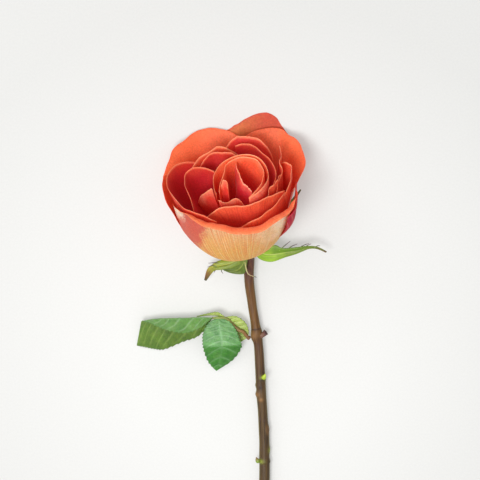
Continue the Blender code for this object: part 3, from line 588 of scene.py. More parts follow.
def petal_material(name, inner, outer, vein, vein_strength, lip, blushes, glow):
    """Velvety petal skin: a ramp along each face, fanned veins, a lip, mottling and a fuzz of papillae."""
    material, tree = new_material("petal_skin_" + name)
    along, across, side = (add(tree, "Attribute", attribute_name=key).outputs["Fac"]
                           for key in ("along", "across", "side"))
    place = add(tree, "TexCoord").outputs["Object"]
    mottle = add(tree, "TexNoise", {"Vector": place, "Scale": 90.0, "Detail": 4.0, "Roughness": 0.6})
    offset = add(tree, "Math", [mottle, 0.36, -0.18], operation="MULTIPLY_ADD")
    shifted = add(tree, "Math", [along, offset], operation="ADD")
    inner_ramp, outer_ramp = (add(tree, "ValToRGB", {"Fac": shifted}, list(zip(RAMP_STEPS, tones)))
                              for tones in (inner, outer))

    # Veins about 1 mm apart at the rim and half that at the root: a noise stretched along the petal.
    spread = add(tree, "Math", [along, -0.8, 1.6], operation="MULTIPLY_ADD")
    fan = add(tree, "CombineXYZ", {"X": product(tree, across, spread), "Y": product(tree, along, 1.1)})
    streak = add(tree, "TexNoise", {"Vector": fan, "Scale": 1.3, "Detail": 4.0, "Roughness": 0.65})
    thin = add(tree, "ValToRGB", {"Fac": streak}, [(0.46, 0.0), (0.64, 1.0)])
    pale = add(tree, "MapRange", [streak, 0.46, 0.34, 0.0, max(0.0, vein_strength - 0.4)])
    outside = lay(tree, outer_ramp, [(product(tree, thin, vein_strength), vein), (pale, "#FFE8C8")])
    inside = lay(tree, inner_ramp, [(product(tree, thin, vein_strength * 0.4), vein)])
    colour = lay(tree, outside, [(side, inside)])

    # The blushes' borders wander by a few millimetres with the mottling and fine specks.
    speck = add(tree, "TexNoise", {"Vector": place, "Scale": 650.0, "Detail": 3.0, "Roughness": 0.7})
    drift = add(tree, "Math", [mottle, 12.0, -12.0], operation="MULTIPLY_ADD")
    wander = add(tree, "Math", [speck, 12.0, drift], operation="MULTIPLY_ADD")
    face_share = {"inner": side, "outer": add(tree, "Math", [1.0, side], operation="SUBTRACT")}
    for face, first, last, lean, start, tint, share in blushes:
        leaning = add(tree, "Math", [along, -lean, 0.85 * lean], operation="MULTIPLY_ADD")
        moved = add(tree, "Math", [across, leaning], operation="ADD")
        where = add(tree, "Math", [moved, wander], operation="ADD")
        reach = add(tree, "MapRange", [where, first, last, 0.0, share])
        begins = add(tree, "MapRange", [shifted, start, start + 0.25])
        colour = lay(tree, colour, [(product(tree, reach, begins, face_share[face]), tint)])
    # Painted highlight: a paler band along the rim where the thin rim catches light; on a few skins the band is
    # darker, the rim's own colour.
    edge = add(tree, "MapRange", [along, 0.972, 0.998, 0.0, 0.85])
    colour = lay(tree, colour, [(edge, lip)])

    # The skin's cells and bruises make it grainy: brighter or darker by up to a sixth, about 1 mm apart.
    grain = add(tree, "TexNoise", {"Vector": place, "Scale": 1100.0, "Detail": 3.0, "Roughness": 0.7})
    glint = add(tree, "MapRange", [grain, 0.3, 0.7, 0.82, 1.16])
    ribbing = add(tree, "MapRange", [streak, 0.3, 0.7, 1 - 0.16 * vein_strength, 1 + 0.16 * vein_strength])
    speckled = add(tree, "HueSaturation", {"Color": colour, "Value": product(tree, glint, ribbing)})
    papillae = add(tree, "TexNoise", {"Vector": place, "Scale": 2600.0, "Detail": 2.0})
    relief = add(tree, "Math", [streak, 0.7, papillae], operation="MULTIPLY_ADD")
    bump = add(tree, "Bump", {"Height": relief, "Strength": 0.35, "Distance": 0.00015})
    rough = add(tree, "MapRange", [mottle, 0.0, 1.0, 0.5, 0.7])
    show(tree, {"Base Color": speckled, "Normal": bump, "Roughness": rough, "IOR": 1.4,
                "Specular IOR Level": 0.3, "Sheen Weight": 0.08, "Sheen Roughness": 0.4,
                "Sheen Tint": linear("#FFB090"), "Emission Color": linear("#FF2C20"),
                "Emission Strength": glow, "Subsurface Weight": 0.3, "Subsurface Scale": 0.0025,
                "Subsurface Radius": (1.0, 0.28, 0.12)})
    return material


PETAL_MATERIALS = {name: petal_material(name, *skin, BLUSHES.get(name, ()), GLOW.get(name, USUAL_GLOW))
                   for name, skin in PETAL_SKINS.items()}
print("petal skins:", list(PETAL_MATERIALS))

# %% Make the petals
petal_faces = 0
for number, petal in enumerate(PETALS):
    points, along, across = petal_points(petal, seed=number)
    thickness = PETAL_THICK + (PETAL_RIM_THICK - PETAL_THICK) * along
    shell = blade_shell(points, thickness, {"along": along, "across": across})
    new_piece("petal_" + petal.name, shell, PETAL_MATERIALS[petal.skin], "bloom")
    petal_faces += len(shell[1])
print("petal faces:", petal_faces)

# %% [markdown]
# ## The core and the hip
# Inside the petals sits a small cone of petal bases and stamens, hardly seen. Under them the hip swells from
# the stem and carries the sepals. Both are turned forms: a profile of radius and height carried round the
# bloom's axis.

# %% Turned forms
CORE_PROFILE = [(7.4, 0.0), (8.2, 1.6), (8.0, 5.0), (6.4, 10.0), (4.2, 14.5), (0.6, 16.4)]
HIP_PROFILE = [(3.0, -9.3), (3.6, -7.6), (4.9, -5.2), (5.2, -3.2), (5.6, -1.8), (6.8, -1.0), (6.8, -0.3)]


def turned_points(profile, rings, sides):
    """A grid of rings: the profile's smooth curve carried round the bloom's axis."""
    curve = through(profile, np.linspace(-1, 1, rings))
    angle = np.linspace(0, 2 * np.pi, sides, endpoint=False)[None, :]
    radius, height = curve[:, :1], curve[:, 1:]
    grid = np.stack([radius * np.cos(angle), radius * np.sin(angle), height + 0 * angle], -1)
    return bloom_to_lying(grid)


def plant_colour(tree, ramp_stops, spots):
    """Plant skin's colour: a ramp by the number "along" under darker mottling of this colour."""
    along = add(tree, "Attribute", attribute_name="along").outputs["Fac"]
    place = add(tree, "TexCoord").outputs["Object"]
    mottle = add(tree, "TexNoise", {"Vector": place, "Scale": 260.0, "Detail": 4.0})
    offset = add(tree, "Math", [mottle, 0.2, -0.1], operation="MULTIPLY_ADD")
    shifted = add(tree, "Math", [along, offset], operation="ADD")
    ramp = add(tree, "ValToRGB", {"Fac": shifted}, ramp_stops)
    patch = add(tree, "ValToRGB", {"Fac": mottle}, [(0.45, 0.0), (0.75, 0.5)])
    return lay(tree, ramp, [(patch, spots)])


def plant_surface(tree, colour, roughness):
    """Plant skin's surface in this colour: a fine grain in height and roughness, some light let through."""
    place = add(tree, "TexCoord").outputs["Object"]
    skin = add(tree, "TexNoise", {"Vector": place, "Scale": 900.0, "Detail": 3.0})
    bump = add(tree, "Bump", {"Height": skin, "Strength": 0.2, "Distance": 0.00015})
    rough = add(tree, "MapRange", [skin, 0.0, 1.0, roughness - 0.08, roughness + 0.08])
    show(tree, {"Base Color": colour, "Normal": bump, "Roughness": rough, "Subsurface Weight": 0.15,
                "Subsurface Radius": (0.5, 1.0, 0.15), "Subsurface Scale": 0.0006})


def plant_material(name, ramp_stops, spots, roughness):
    """Smooth plant skin, as on the hip, a stalk or a bud."""
    material, tree = new_material(name)
    plant_surface(tree, plant_colour(tree, ramp_stops, spots), roughness)
    return material


# The hip has a smooth waxy skin, purple-brown where it meets the stem. The petal bases are dull wet flesh.
HIP_SKIN = plant_material("smooth_green_hip", [(0.0, "#5E4238"), (0.3, "#5E6A34"), (1.0, "#7FA83A")],
                          "#4C6A28", 0.45)
CORE_SKIN = plant_material("petal_base_flesh", [(0.0, "#C8A050"), (0.5, "#A83020"), (1.0, "#7A0A12")],
                           "#7A0A12", 0.6)

core = turned_points(CORE_PROFILE, rings=24, sides=48)
new_piece("bloom_core", tube_shell(core), CORE_SKIN, "bloom")
hip = turned_points(HIP_PROFILE, rings=40, sides=64)
new_piece("hip", tube_shell(hip, dome=0.0), HIP_SKIN, "calyx")
print("hip width, mm:", round(float(np.ptp(hip[..., 0])), 1))

# %% [markdown]
# ## Blades: sepals and leaflets
# A sepal or leaflet is drawn by three lines: its two edges and the midrib between them. The grid runs from
# one edge over the midrib to the other. The blade swells between rib and edge, the side veins lie in shallow
# grooves that run forward to the edge, and a leaflet's edge is cut into teeth that point to its tip.

# %% Blade surface
@dataclass(frozen=True)
class Blade:
    """A thin blade between two edges, with its midrib between them, each given as points along it in mm."""
    name: str
    one_edge: tuple
    midrib: tuple
    other_edge: tuple
    teeth: int = 0
    tooth: float = 0.0
    bulge: float = 0.0
    skin: str = ""


VEIN_LEAN, VEIN_WIDTH, RIB_WIDTH = 0.16, 0.11, 0.07


def blade_points(blade, rows, half_columns, veins, vein_depth, seed):
    """The blade's middle surface and its numbers: along, edge (0 rib, 1 edge), half (-1 to 1) and vein."""
    s = np.linspace(-1, 1, rows + 1)
    along = (s + 1) / 2
    one, middle, other = through(blade.one_edge, s), through(blade.midrib, s), through(blade.other_edge, s)
    ends = smooth(8 * along) * smooth(8 * (1 - along))
    edges = []
    for number, edge in enumerate((one, other)):
        step = (along * blade.teeth + 0.37 * number) % 1.0
        saw = blade.tooth * (step**1.3 * (1 - smooth((step - 0.8) / 0.2)) - 0.35) * ends
        out = edge - middle
        edges.append(edge + unit(out) * np.minimum(saw, np.linalg.norm(out, axis=1) * 0.3)[:, None])
    one, other = edges
    across = np.linspace(0, 1, half_columns + 1)
    normal = unit(np.cross(np.gradient(middle, axis=0), other - one))
    normal = normal * np.sign(normal[:, 2:3] + 1e-9)
    left = one[:, None] * across[::-1][None, :, None] + middle[:, None] * across[None, :, None]
    right = middle[:, None] * across[::-1][None, :, None] + other[:, None] * across[None, :, None]
    rise = blade.bulge * np.sin(np.pi * along)[:, None] * np.sin(np.pi * across)[None, :]
    points = np.concatenate([left + normal[:, None] * rise[..., None],
                             (right + normal[:, None] * rise[..., None])[:, 1:]], axis=1)
    edge = np.concatenate([across[::-1], across[1:]])[None, :] + 0 * along[:, None]
    half = np.concatenate([-across[::-1], across[1:]])[None, :] + 0 * along[:, None]
    beat = veins * (along[:, None] - VEIN_LEAN * edge**1.2)
    beat = beat + 0.15 * ripples(along[:, None] * 9, edge * 4, seed)
    away = np.abs(beat - np.round(beat))
    vein = np.exp(-((away / VEIN_WIDTH) ** 2)) * (1 - smooth((edge - 0.75) / 0.25)) if veins else 0 * edge
    rib = np.exp(-((edge / RIB_WIDTH) ** 2)) * (1 - 0.6 * along[:, None])
    surface_normal = unit(np.cross(np.gradient(points, axis=0), np.gradient(points, axis=1)))
    pucker = vein_depth * (np.cos(2 * np.pi * beat) * -0.5 * smooth(edge / 0.2) * (1 - edge) - 0.5 * vein)
    pucker = pucker * ends[:, None] + 0.15 * ripples(along[:, None] * 7, edge * 3, seed + 9) * ends[:, None]
    points = points + surface_normal * pucker[..., None] * np.sign(surface_normal[..., 2:3] + 1e-9)
    values = {"along": along[:, None] + 0 * edge, "edge": edge, "half": half, "vein": np.maximum(vein, rib)}
    return points, values


# %% [markdown]
# ## The sepals
# Five sepals spread from under the bloom. The one on the right is broad and lime green at its base and
# thins to a brown curled tip, the left one curls down, and two hide behind the petals. Their edges carry
# long side lobes as thin as threads, with dark glands at their tips. The threads are tapered tubes.

# %% Sepal shapes
SEPALS = [
    Blade("right",
          ((3.6, -4.6, 13.4), (6.5, -9.8, 12.2), (13.1, -11.8, 11), (21, -9.1, 11), (26.3, -7.2, 12),
           (30.2, -5.6, 12.4), (34.1, -4.2, 12.4), (38.4, -4.6, 11.5), (43.3, -6.9, 10)),
          ((4.6, -2.6, 14.4), (9, -7, 12.6), (14, -7.6, 11.8), (19.6, -6.5, 12), (24.6, -5.5, 12.5),
           (29.2, -4.4, 12.9), (33.8, -3.5, 12.6), (38.4, -4, 11.6), (43.5, -6.6, 10)),
          ((6.3, -1.6, 14.6), (10, -3.8, 13), (15.2, -2.3, 12.6), (18.9, -3.8, 13), (23.1, -3.7, 13.4),
           (28, -3.2, 13.4), (33.4, -2.7, 13), (38.4, -3.4, 12), (43.6, -6.3, 10)),
          bulge=0.4, skin="lime"),
    Blade("left",
          ((-5.2, -1.4, 14.7), (-6.4, -7.4, 12.4), (-9.6, -10.2, 10.6), (-15.8, -11.9, 9.6),
           (-19.8, -14.4, 9.6), (-22.3, -17, 9), (-23.8, -22.9, 7.5)),
          ((-3.8, -2.6, 15), (-4.6, -9.2, 13), (-9, -12.6, 11.6), (-14.6, -14.2, 10.6),
           (-18.6, -15.4, 10), (-21, -17.8, 9.2), (-23.3, -23.2, 7.5)),
          ((-1.8, -4.2, 14.4), (-3.2, -11.4, 13), (-8.2, -15, 12), (-14.2, -16.2, 11),
           (-17.6, -16.6, 10.2), (-19.8, -18.7, 9.2), (-22.8, -23.4, 7.5)),
          bulge=0.4, skin="curled"),
    Blade("front",
          ((-3.4, -3.6, 15.4), (-4, -11, 13.2), (-6.4, -13.6, 11.2), (-9, -15.2, 9.4),
           (-11.1, -16.2, 8.2), (-13.4, -17.1, 7.6)),
          ((-1.6, -4.6, 15.6), (-2.2, -11.6, 13.8), (-3.9, -15, 12.2), (-5.8, -17, 10.2),
           (-9.2, -17.9, 8.8), (-13.2, -17.4, 7.6)),
          ((0.4, -4.4, 15.6), (-0.4, -11.8, 14.2), (-1, -16.2, 12.8), (-2.6, -18.8, 10.8),
           (-7.9, -19, 9), (-12.9, -17.7, 7.6)),
          bulge=-0.5, skin="dark"),
    Blade("back_right",
          ((5.6, -1.9, 14.5), (11.6, -0.4, 9.6), (17.6, 6.4, 6.6), (21.6, 13, 6), (25, 20.2, 7.8),
           (29.4, 28.1, 10)),
          ((5.4, -0.6, 13.8), (10.8, 1.8, 9), (16.2, 8.2, 6.4), (20.2, 14.4, 6), (24.4, 21, 7.9),
           (29.3, 28.4, 10)),
          ((4.6, 0.1, 12.8), (9.8, 3.4, 8.2), (14.8, 10, 6.4), (18.8, 15.8, 6.2), (23.8, 21.8, 8),
           (29.1, 28.6, 10.1)), skin="lime"),
    Blade("back_left",
          ((-5.2, -1.4, 13.4), (-9.6, 2.6, 8.4), (-13.4, 7.4, 3.6), (-20, 10.6, 0.8), (-27, 11, 0.6)),
          ((-4.2, -0.4, 12.6), (-7.4, 3.9, 7.6), (-10.8, 9.8, 3), (-18.4, 12.4, 0.6), (-27.2, 11.6, 0.5)),
          ((-2.6, 0.2, 12), (-4.8, 4.3, 7.2), (-8.4, 11.8, 2.8), (-17.6, 14.4, 0.6), (-27, 12.2, 0.6)),
          skin="dark"),
]
SEPAL_THICK = 0.4
SEPAL_SEED = 200


def sepal_material(name, ramp_stops, spots, flap, flap_share, rib):
    """Sepal skin: the plant skin with a darker flap on one half, fine dark nerves and a pale midrib."""
    material, tree = new_material(name)
    along, half, edge = (add(tree, "Attribute", attribute_name=key).outputs["Fac"]
                         for key in ("along", "half", "edge"))
    over = add(tree, "MapRange", [half, 0.02, 0.12, 0.0, flap_share])
    begins = add(tree, "MapRange", [along, 0.2, 0.26])
    ends = add(tree, "MapRange", [along, 0.5, 0.85, 1.0, 0.2])
    lines = add(tree, "CombineXYZ", {"X": half, "Y": product(tree, along, 0.4)})
    nerve = add(tree, "TexNoise", {"Vector": lines, "Scale": 9.0, "Detail": 3.0, "Roughness": 0.6})
    nerves = add(tree, "ValToRGB", {"Fac": nerve}, [(0.48, 0.0), (0.66, 0.6)])
    ridge = add(tree, "MapRange", [edge, 0.0, 0.1, 0.7, 0.0])
    fades = add(tree, "MapRange", [along, 0.6, 0.8, 1.0, 0.0])
    colour = lay(tree, plant_colour(tree, ramp_stops, spots), [
        (product(tree, begins, ends, over), flap), (nerves, "#4E6A14"), (product(tree, ridge, fades), rib)])
    plant_surface(tree, colour, 0.5)
    return material


# Sepals are thin green leaf skin, lime where they are young and brown where their tips dry.
SEPAL_SKINS = {
    "lime": sepal_material("fresh_sepal_skin", [(0.1, "#8CB424"), (0.28, "#98BC2C"), (0.42, "#7C9428"),
                                                (0.8, "#6C7C24"), (0.93, "#6E4A34")], "#6A8C1C",
                           "#5E8400", 0.85, "#C4C878"),
    "curled": sepal_material("curled_sepal_skin", [(0.1, "#708820"), (0.5, "#98A42C"), (0.75, "#9A9226"),
                                                   (0.88, "#84502C"), (1.0, "#442020")], "#5E6E1C",
                             "#66781C", 0.6, "#C4C070"),
    # The darker skin of the sepals under the bloom is painted shade.
    "dark": sepal_material("shaded_sepal_skin", [(0.1, "#6C7C2C"), (0.5, "#6A7A2C"), (1.0, "#54661E")],
                           "#3E5018", "#50621C", 0.5, "#98A04C"),
}
for number, sepal in enumerate(SEPALS):
    points, values = blade_points(sepal, rows=90, half_columns=14, veins=0, vein_depth=0.0,
                                  seed=SEPAL_SEED + number)
    shell = blade_shell(press(points, SEPAL_THICK / 2), SEPAL_THICK, values)
    new_piece("sepal_" + sepal.name, shell, SEPAL_SKINS[sepal.skin], "calyx")
print("sepals:", len(SEPALS))

# %% Threads on the sepals
THREADS = [
    ((17.6, -5.2, 12.6), (20.6, -2.2, 13.6), (23.6, 0.4, 14.2)),
    ((21.6, -4.8, 13), (24.4, -2.6, 13.8), (27.4, -1.1, 14.6)),
    ((27.6, -4.2, 13.2), (30.8, -2.1, 13.8), (34, -0.7, 14.6)),
    ((30.8, -4, 13), (33, -2.2, 13.5), (35, -1.2, 13.9)),
    ((36.6, -3.9, 12), (38.6, -2.7, 12.4), (40, -2.6, 12.6)),
    ((-14, -13.2, 10.2), (-17.6, -12.6, 10.4), (-21.6, -12.7, 11)),
    ((-16.8, -15, 10.4), (-19.4, -14.2, 10.8), (-22, -14.9, 11.2)),
    ((-13, -15.4, 11), (-14.4, -16.9, 11), (-13.5, -18.8, 10.4)),
    ((-16.6, -15.8, 10.4), (-17.9, -17, 10.2), (-18.3, -18.2, 9.8)),
]
PALE_THREAD = ((-1.4, -11.4, 14.2), (0.2, -17.6, 15), (4.8, -19.9, 14.4))
# The side lobes are hair-thin and end in dark glands. One of them is dry and pale.
THREAD_SKIN = plant_material("thread_lobe_skin", [(0.0, "#86A63C"), (0.4, "#5E6A3C"), (0.65, "#4A3A3E"),
                                                  (1.0, "#6A5060")], "#4A4A34", 0.5)
PALE_THREAD_SKIN = plant_material("dry_thread_skin", [(0.0, "#A8A860"), (0.5, "#C0B084"), (0.85, "#B09A80"),
                                                      (0.97, "#60687C")], "#A09060", 0.5)
THREAD_RADII = (0.4, 0.28, 0.2, 0.12)
PALE_THREAD_RADII = (0.42, 0.34, 0.22, 0.24)
drawn = [(line, THREAD_RADII, THREAD_SKIN) for line in THREADS]
drawn.append((PALE_THREAD, PALE_THREAD_RADII, PALE_THREAD_SKIN))
for number, (line, radii, skin) in enumerate(drawn):
    shell = tube_shell(tube_points(line, radii, rings=40, sides=12)[0], dome=0.8)
    new_piece("thread_%d" % number, shell, skin, "calyx")
print("threads:", len(drawn))

# %% [markdown]
# ## The stem
# A rose stem of last year's wood: brown bark with long fine fibres, purple under the bloom, olive where it
# turns away. It swells at each node, where a leaf or shoot grew, and it carries scars and small bumps. A
# tube of many rings along one smooth line takes these as rises added along the ring directions. Its lower
# end is cut at a slant. The cut face isn't seen in the photograph and has the colour of the bark.

# %% Stem shape
STEM_CENTRES = [(0.85, -8.1, 10.2), (1, -11.2, 8.3), (0.8, -19.5, 6.4), (1.3, -27, 5.7),
                (2.7, -38, 5), (4.3, -48, 4.7), (5.2, -54, 4.6), (6.1, -60, 4.5),
                (6.7, -68.5, 4.4), (7.4, -82, 4.2), (8, -92, 4), (8.7, -102, 3.8),
                (9.3, -112.5, 3.6), (9.5, -122, 3.5), (9.6, -134, 3.3), (9.4, -150, 3.1),
                (8.9, -166, 3), (8.1, -182, 2.95)]
STEM_RADII = [2.95, 2.9, 2.75, 2.65, 2.5, 2.5, 2.6, 2.55, 2.6, 2.7, 2.7, 2.65, 2.8, 2.9, 2.95, 2.95, 2.95,
              2.95]
STEM_CUT_SLANT = 0.55
STEM_TOP, STEM_END = -8.1, -182.0


@dataclass(frozen=True)
class Rise:
    """A rise on the stem: its place, height and reach in mm, and its facing and width in degrees."""
    y: float
    facing: float
    height: float
    length: float
    width: float


ALL_ROUND = 360
RISES = [
    Rise(y=-53.6, facing=90, height=0.55, length=3.2, width=ALL_ROUND),
    Rise(y=-56.2, facing=168, height=0.7, length=2.2, width=60),
    Rise(y=-83.5, facing=172, height=0.45, length=1.3, width=40),
    Rise(y=-88.6, facing=165, height=0.65, length=1.5, width=45),
    Rise(y=-79.5, facing=40, height=0.5, length=1.8, width=55),
    Rise(y=-109.0, facing=25, height=0.4, length=3.0, width=50),
    Rise(y=-121.0, facing=5, height=0.45, length=2.0, width=45),
    Rise(y=-127.5, facing=120, height=0.35, length=1.2, width=ALL_ROUND),
    Rise(y=-158.0, facing=60, height=0.4, length=2.4, width=ALL_ROUND),
]
# Fine grooves all round, above each node: place along the stem, depth and length.
RING_GROOVES = [(-51.2, 0.12, 0.35), (-128.9, 0.1, 0.3), (-159.8, 0.08, 0.3)]
FIBRE_HEIGHT, LUMP_HEIGHT = 0.035, 0.05
BARK_SEED, STUMP_SEED = 301, 320


def around(angle, facing, width):
    """A hump of height 1 where the ring's angle is the facing, in degrees."""
    away = np.degrees(np.angle(np.exp(1j * (angle - math.radians(facing)))))
    return np.exp(-((away / width) ** 2))


def stem_points(rings, sides):
    """The stem's rings with rises, bark fibres and a slanted cut, and its numbers for the bark."""
    points, line, ring, angle = tube_points(STEM_CENTRES, STEM_RADII, rings, sides)
    y, turn = line[:, 1][:, None], angle[None, :]
    lift = sum(rise.height * bump_at(y, rise.y, rise.length)
               * (1.0 if rise.width == ALL_ROUND else around(turn, rise.facing, rise.width))
               for rise in RISES)
    fibres = ripples(8 * np.cos(turn) + 0.12 * y, 8 * np.sin(turn), BARK_SEED) + ripples(
        17 * np.cos(turn), 17 * np.sin(turn) + 0.2 * y, BARK_SEED + 1)
    lumps = ripples(1.5 * np.cos(turn) + 0.5 * y, 1.5 * np.sin(turn), BARK_SEED + 2)
    lift = lift + FIBRE_HEIGHT * fibres + LUMP_HEIGHT * lumps
    for place, depth, length in RING_GROOVES:
        lift = lift - depth * bump_at(y, place, length)
    # The lens-shaped scar: a raised lip round a sunken middle, and the brown scar of a fallen leaf.
    lens = bump_at(y, -109.0, 2.6) * around(turn, 40, 18)
    lens_hollow = bump_at(y, -109.0, 1.7) * around(turn, 40, 9)
    leaf_scar = bump_at(y, -91.5, 1.1) * around(turn, 98, 26)
    lift = lift + 0.25 * lens - 0.4 * lens_hollow + 0.18 * leaf_scar
    points = points + ring * np.broadcast_to(lift, points.shape[:2])[..., None]
    points[-1, :, 1] += STEM_CUT_SLANT * (points[-1, :, 2] - line[-1, 2])
    points[..., 2] = np.maximum(points[..., 2], 0.0)
    scar = np.clip(lens + leaf_scar + 0.8 * bump_at(y, -88.6, 1.5) * around(turn, 160, 60)
                   + 0.7 * bump_at(y, -54.5, 2.0) * around(turn, 150, 70), 0, 1)
    dark = np.clip(lens_hollow + bump_at(y, -84.6, 0.9) * around(turn, 95, 22)
                   + bump_at(y, -80.4, 0.7) * around(turn, 75, 30) + 0.7 * bump_at(y, -51.2, 0.4), 0, 1)
    green = np.clip(bump_at(y, -79.0, 1.2) * around(turn, 45, 40)
                    + bump_at(y, -127.2, 1.2) * around(turn, 150, 45)
                    + bump_at(y, -121.0, 1.5) * around(turn, 5, 30), 0, 1)
    values = {"along": (STEM_TOP - y) / (STEM_TOP - STEM_END) + 0 * turn, "scar": scar, "dark": dark,
              "green": green, "turn": np.abs(np.cos(turn)) + 0 * y}
    return points, values


# %% Bark
# Young bark is half matt: long fibres break up its highlight, and freckles and scars mark it.
bark, tree = new_material("young_rose_bark")
numbers = {key: add(tree, "Attribute", attribute_name=key).outputs["Fac"]
           for key in ("along", "scar", "dark", "green", "turn")}
place = add(tree, "TexCoord").outputs["Object"]
tint = add(tree, "ValToRGB", {"Fac": numbers["along"]},
           [(0.0, "#4E262E"), (0.07, "#5A3430"), (0.11, "#644022"), (0.24, "#64421E"), (0.3, "#44261A"),
            (0.42, "#36261A"), (0.6, "#322618"), (1.0, "#2C2216")])
# Fibres about 0.8 mm apart with finer ones among them: a noise stretched 30 times along the stem.
stretch = add(tree, "Mapping", {"Vector": place, "Scale": (3300.0, 110.0, 3300.0)})
fibre = add(tree, "TexNoise", {"Vector": stretch, "Scale": 0.4, "Detail": 4.0, "Roughness": 0.65})
fibre_light = add(tree, "ValToRGB", {"Fac": fibre}, [(0.35, "#2C1C12"), (0.65, "#80602F")])
turned_away = add(tree, "MapRange", [numbers["turn"], 0.8, 1.0, 0.0, 0.75])
spot = add(tree, "TexNoise", {"Vector": place, "Scale": 420.0, "Detail": 2.0})
spots = add(tree, "ValToRGB", {"Fac": spot}, [(0.6, 0.0), (0.7, 0.5)])
colour = lay(tree, tint, [(0.35, fibre_light), (turned_away, "#7E7640"), (spots, "#4A3630"),
                          (numbers["scar"], "#846038"), (numbers["green"], "#8E9A3A"),
                          (numbers["dark"], "#33241E")])
bump = add(tree, "Bump", {"Height": fibre, "Strength": 0.6, "Distance": 0.0002})
rough = add(tree, "MapRange", [fibre, 0.0, 1.0, 0.4, 0.65])
show(tree, {"Base Color": colour, "Normal": bump, "Roughness": rough, "Specular IOR Level": 0.3})

STEM_RINGS, STEM_SIDES = 760, 72
points, values = stem_points(STEM_RINGS, STEM_SIDES)
new_piece("stem_bark", tube_shell(points, values, dome=0.05), bark, "stem")
print("stem length, mm:", round(float(np.ptp(points[..., 1])), 1))

# %% [markdown]
# ## The cut side shoot
# A side shoot was cut off at the first node: a short stump that widens to a ragged lip round a shallow
# mouth. Two more rings make the mouth, one narrower at the lip and a small one further in.

# %% Stump
STUMP_CENTRES = [(5.4, -55.4, 4.8), (7.6, -54.8, 5.6), (8.9, -54.2, 6.1), (10.2, -53.0, 6.6)]
STUMP_RADII = [1.7, 1.6, 1.35, 1.6]
STUMP_RINGS, STUMP_SIDES = 60, 40
# The stump's bark is dry, purple-brown and matt.
STUMP_SKIN = plant_material("dry_stump_bark", [(0.2, "#6E4A3A"), (0.75, "#7E5A48"), (0.95, "#5A3434")],
                            "#4A3028", 0.6)
points, line, ring, angle = tube_points(STUMP_CENTRES, STUMP_RADII, STUMP_RINGS, STUMP_SIDES)
s = np.linspace(0, 1, STUMP_RINGS)[:, None]
ragged = ripples(3 * np.cos(angle)[None, :] + 5 * s, 3 * np.sin(angle)[None, :], STUMP_SEED)
ragged = ragged * (0.06 + 0.22 * s**6)
points = points + ring * ragged[..., None]
mouth = points[-1] + (points[-1].mean(0) - points[-1]) * 0.35
deep = mouth + (line[-6] - line[-1])
points = np.concatenate([points, [mouth], [deep + (deep.mean(0) - deep) * 0.2]])
shell = tube_shell(points, {"along": np.concatenate([s[:, 0], [1.0, 0.9]])[:, None]}, dome=0.0)
new_piece("side_shoot_stump", shell, STUMP_SKIN, "stem")

# %% [markdown]
# ## The buds
# Two dormant buds sit on the bark: tiny cones of overlapping scales. The scales are drawn by a helical step
# in the radius, so that each turn of the cone overlaps the next.

# %% Buds
BUDS = {
    "bud_upper": ((8.85, -78.8, 7.4), (9.1, -78.4, 7.9), (9.5, -77.4, 8.6), (10.0, -76.0, 9.2)),
    "bud_lower": ((6.4, -127.3, 5.2), (5.9, -127.0, 5.5), (5.4, -126.0, 5.8), (4.9, -124.6, 6.2)),
}
BUD_RADII = (0.9, 1.2, 0.9, 0.15)
BUD_RINGS, BUD_SIDES = 60, 36
BUD_TURNS, BUD_SCALES, BUD_STEP = 3.0, 2, 0.13
# Bud scales are young waxy skin, brighter than the bark round them.
BUD_SKINS = {
    "bud_upper": plant_material("lime_bud_scales", [(0.0, "#6E8428"), (0.4, "#9CB42C"), (0.9, "#B4C838")],
                                "#7E8A2C", 0.45),
    "bud_lower": plant_material("green_bud_scales", [(0.0, "#6E6A38"), (0.5, "#86A238"), (0.95, "#7A5A3A")],
                                "#5E6A2C", 0.45),
}
for name, line in BUDS.items():
    points, _, ring, angle = tube_points(line, BUD_RADII, BUD_RINGS, BUD_SIDES)
    s = np.linspace(0, 1, BUD_RINGS)[:, None]
    step = (BUD_TURNS * s + angle[None, :] / (2 * np.pi) * BUD_SCALES) % 1.0
    lift = BUD_STEP * (1 - smooth(step)) * np.sin(np.pi * s)
    points = points + ring * lift[..., None]
    shell = tube_shell(points, {"along": s + 0.15 * (1 - step)}, dome=0.5)
    new_piece(name + "_scales", shell, BUD_SKINS[name], name)
print("buds:", len(BUDS))
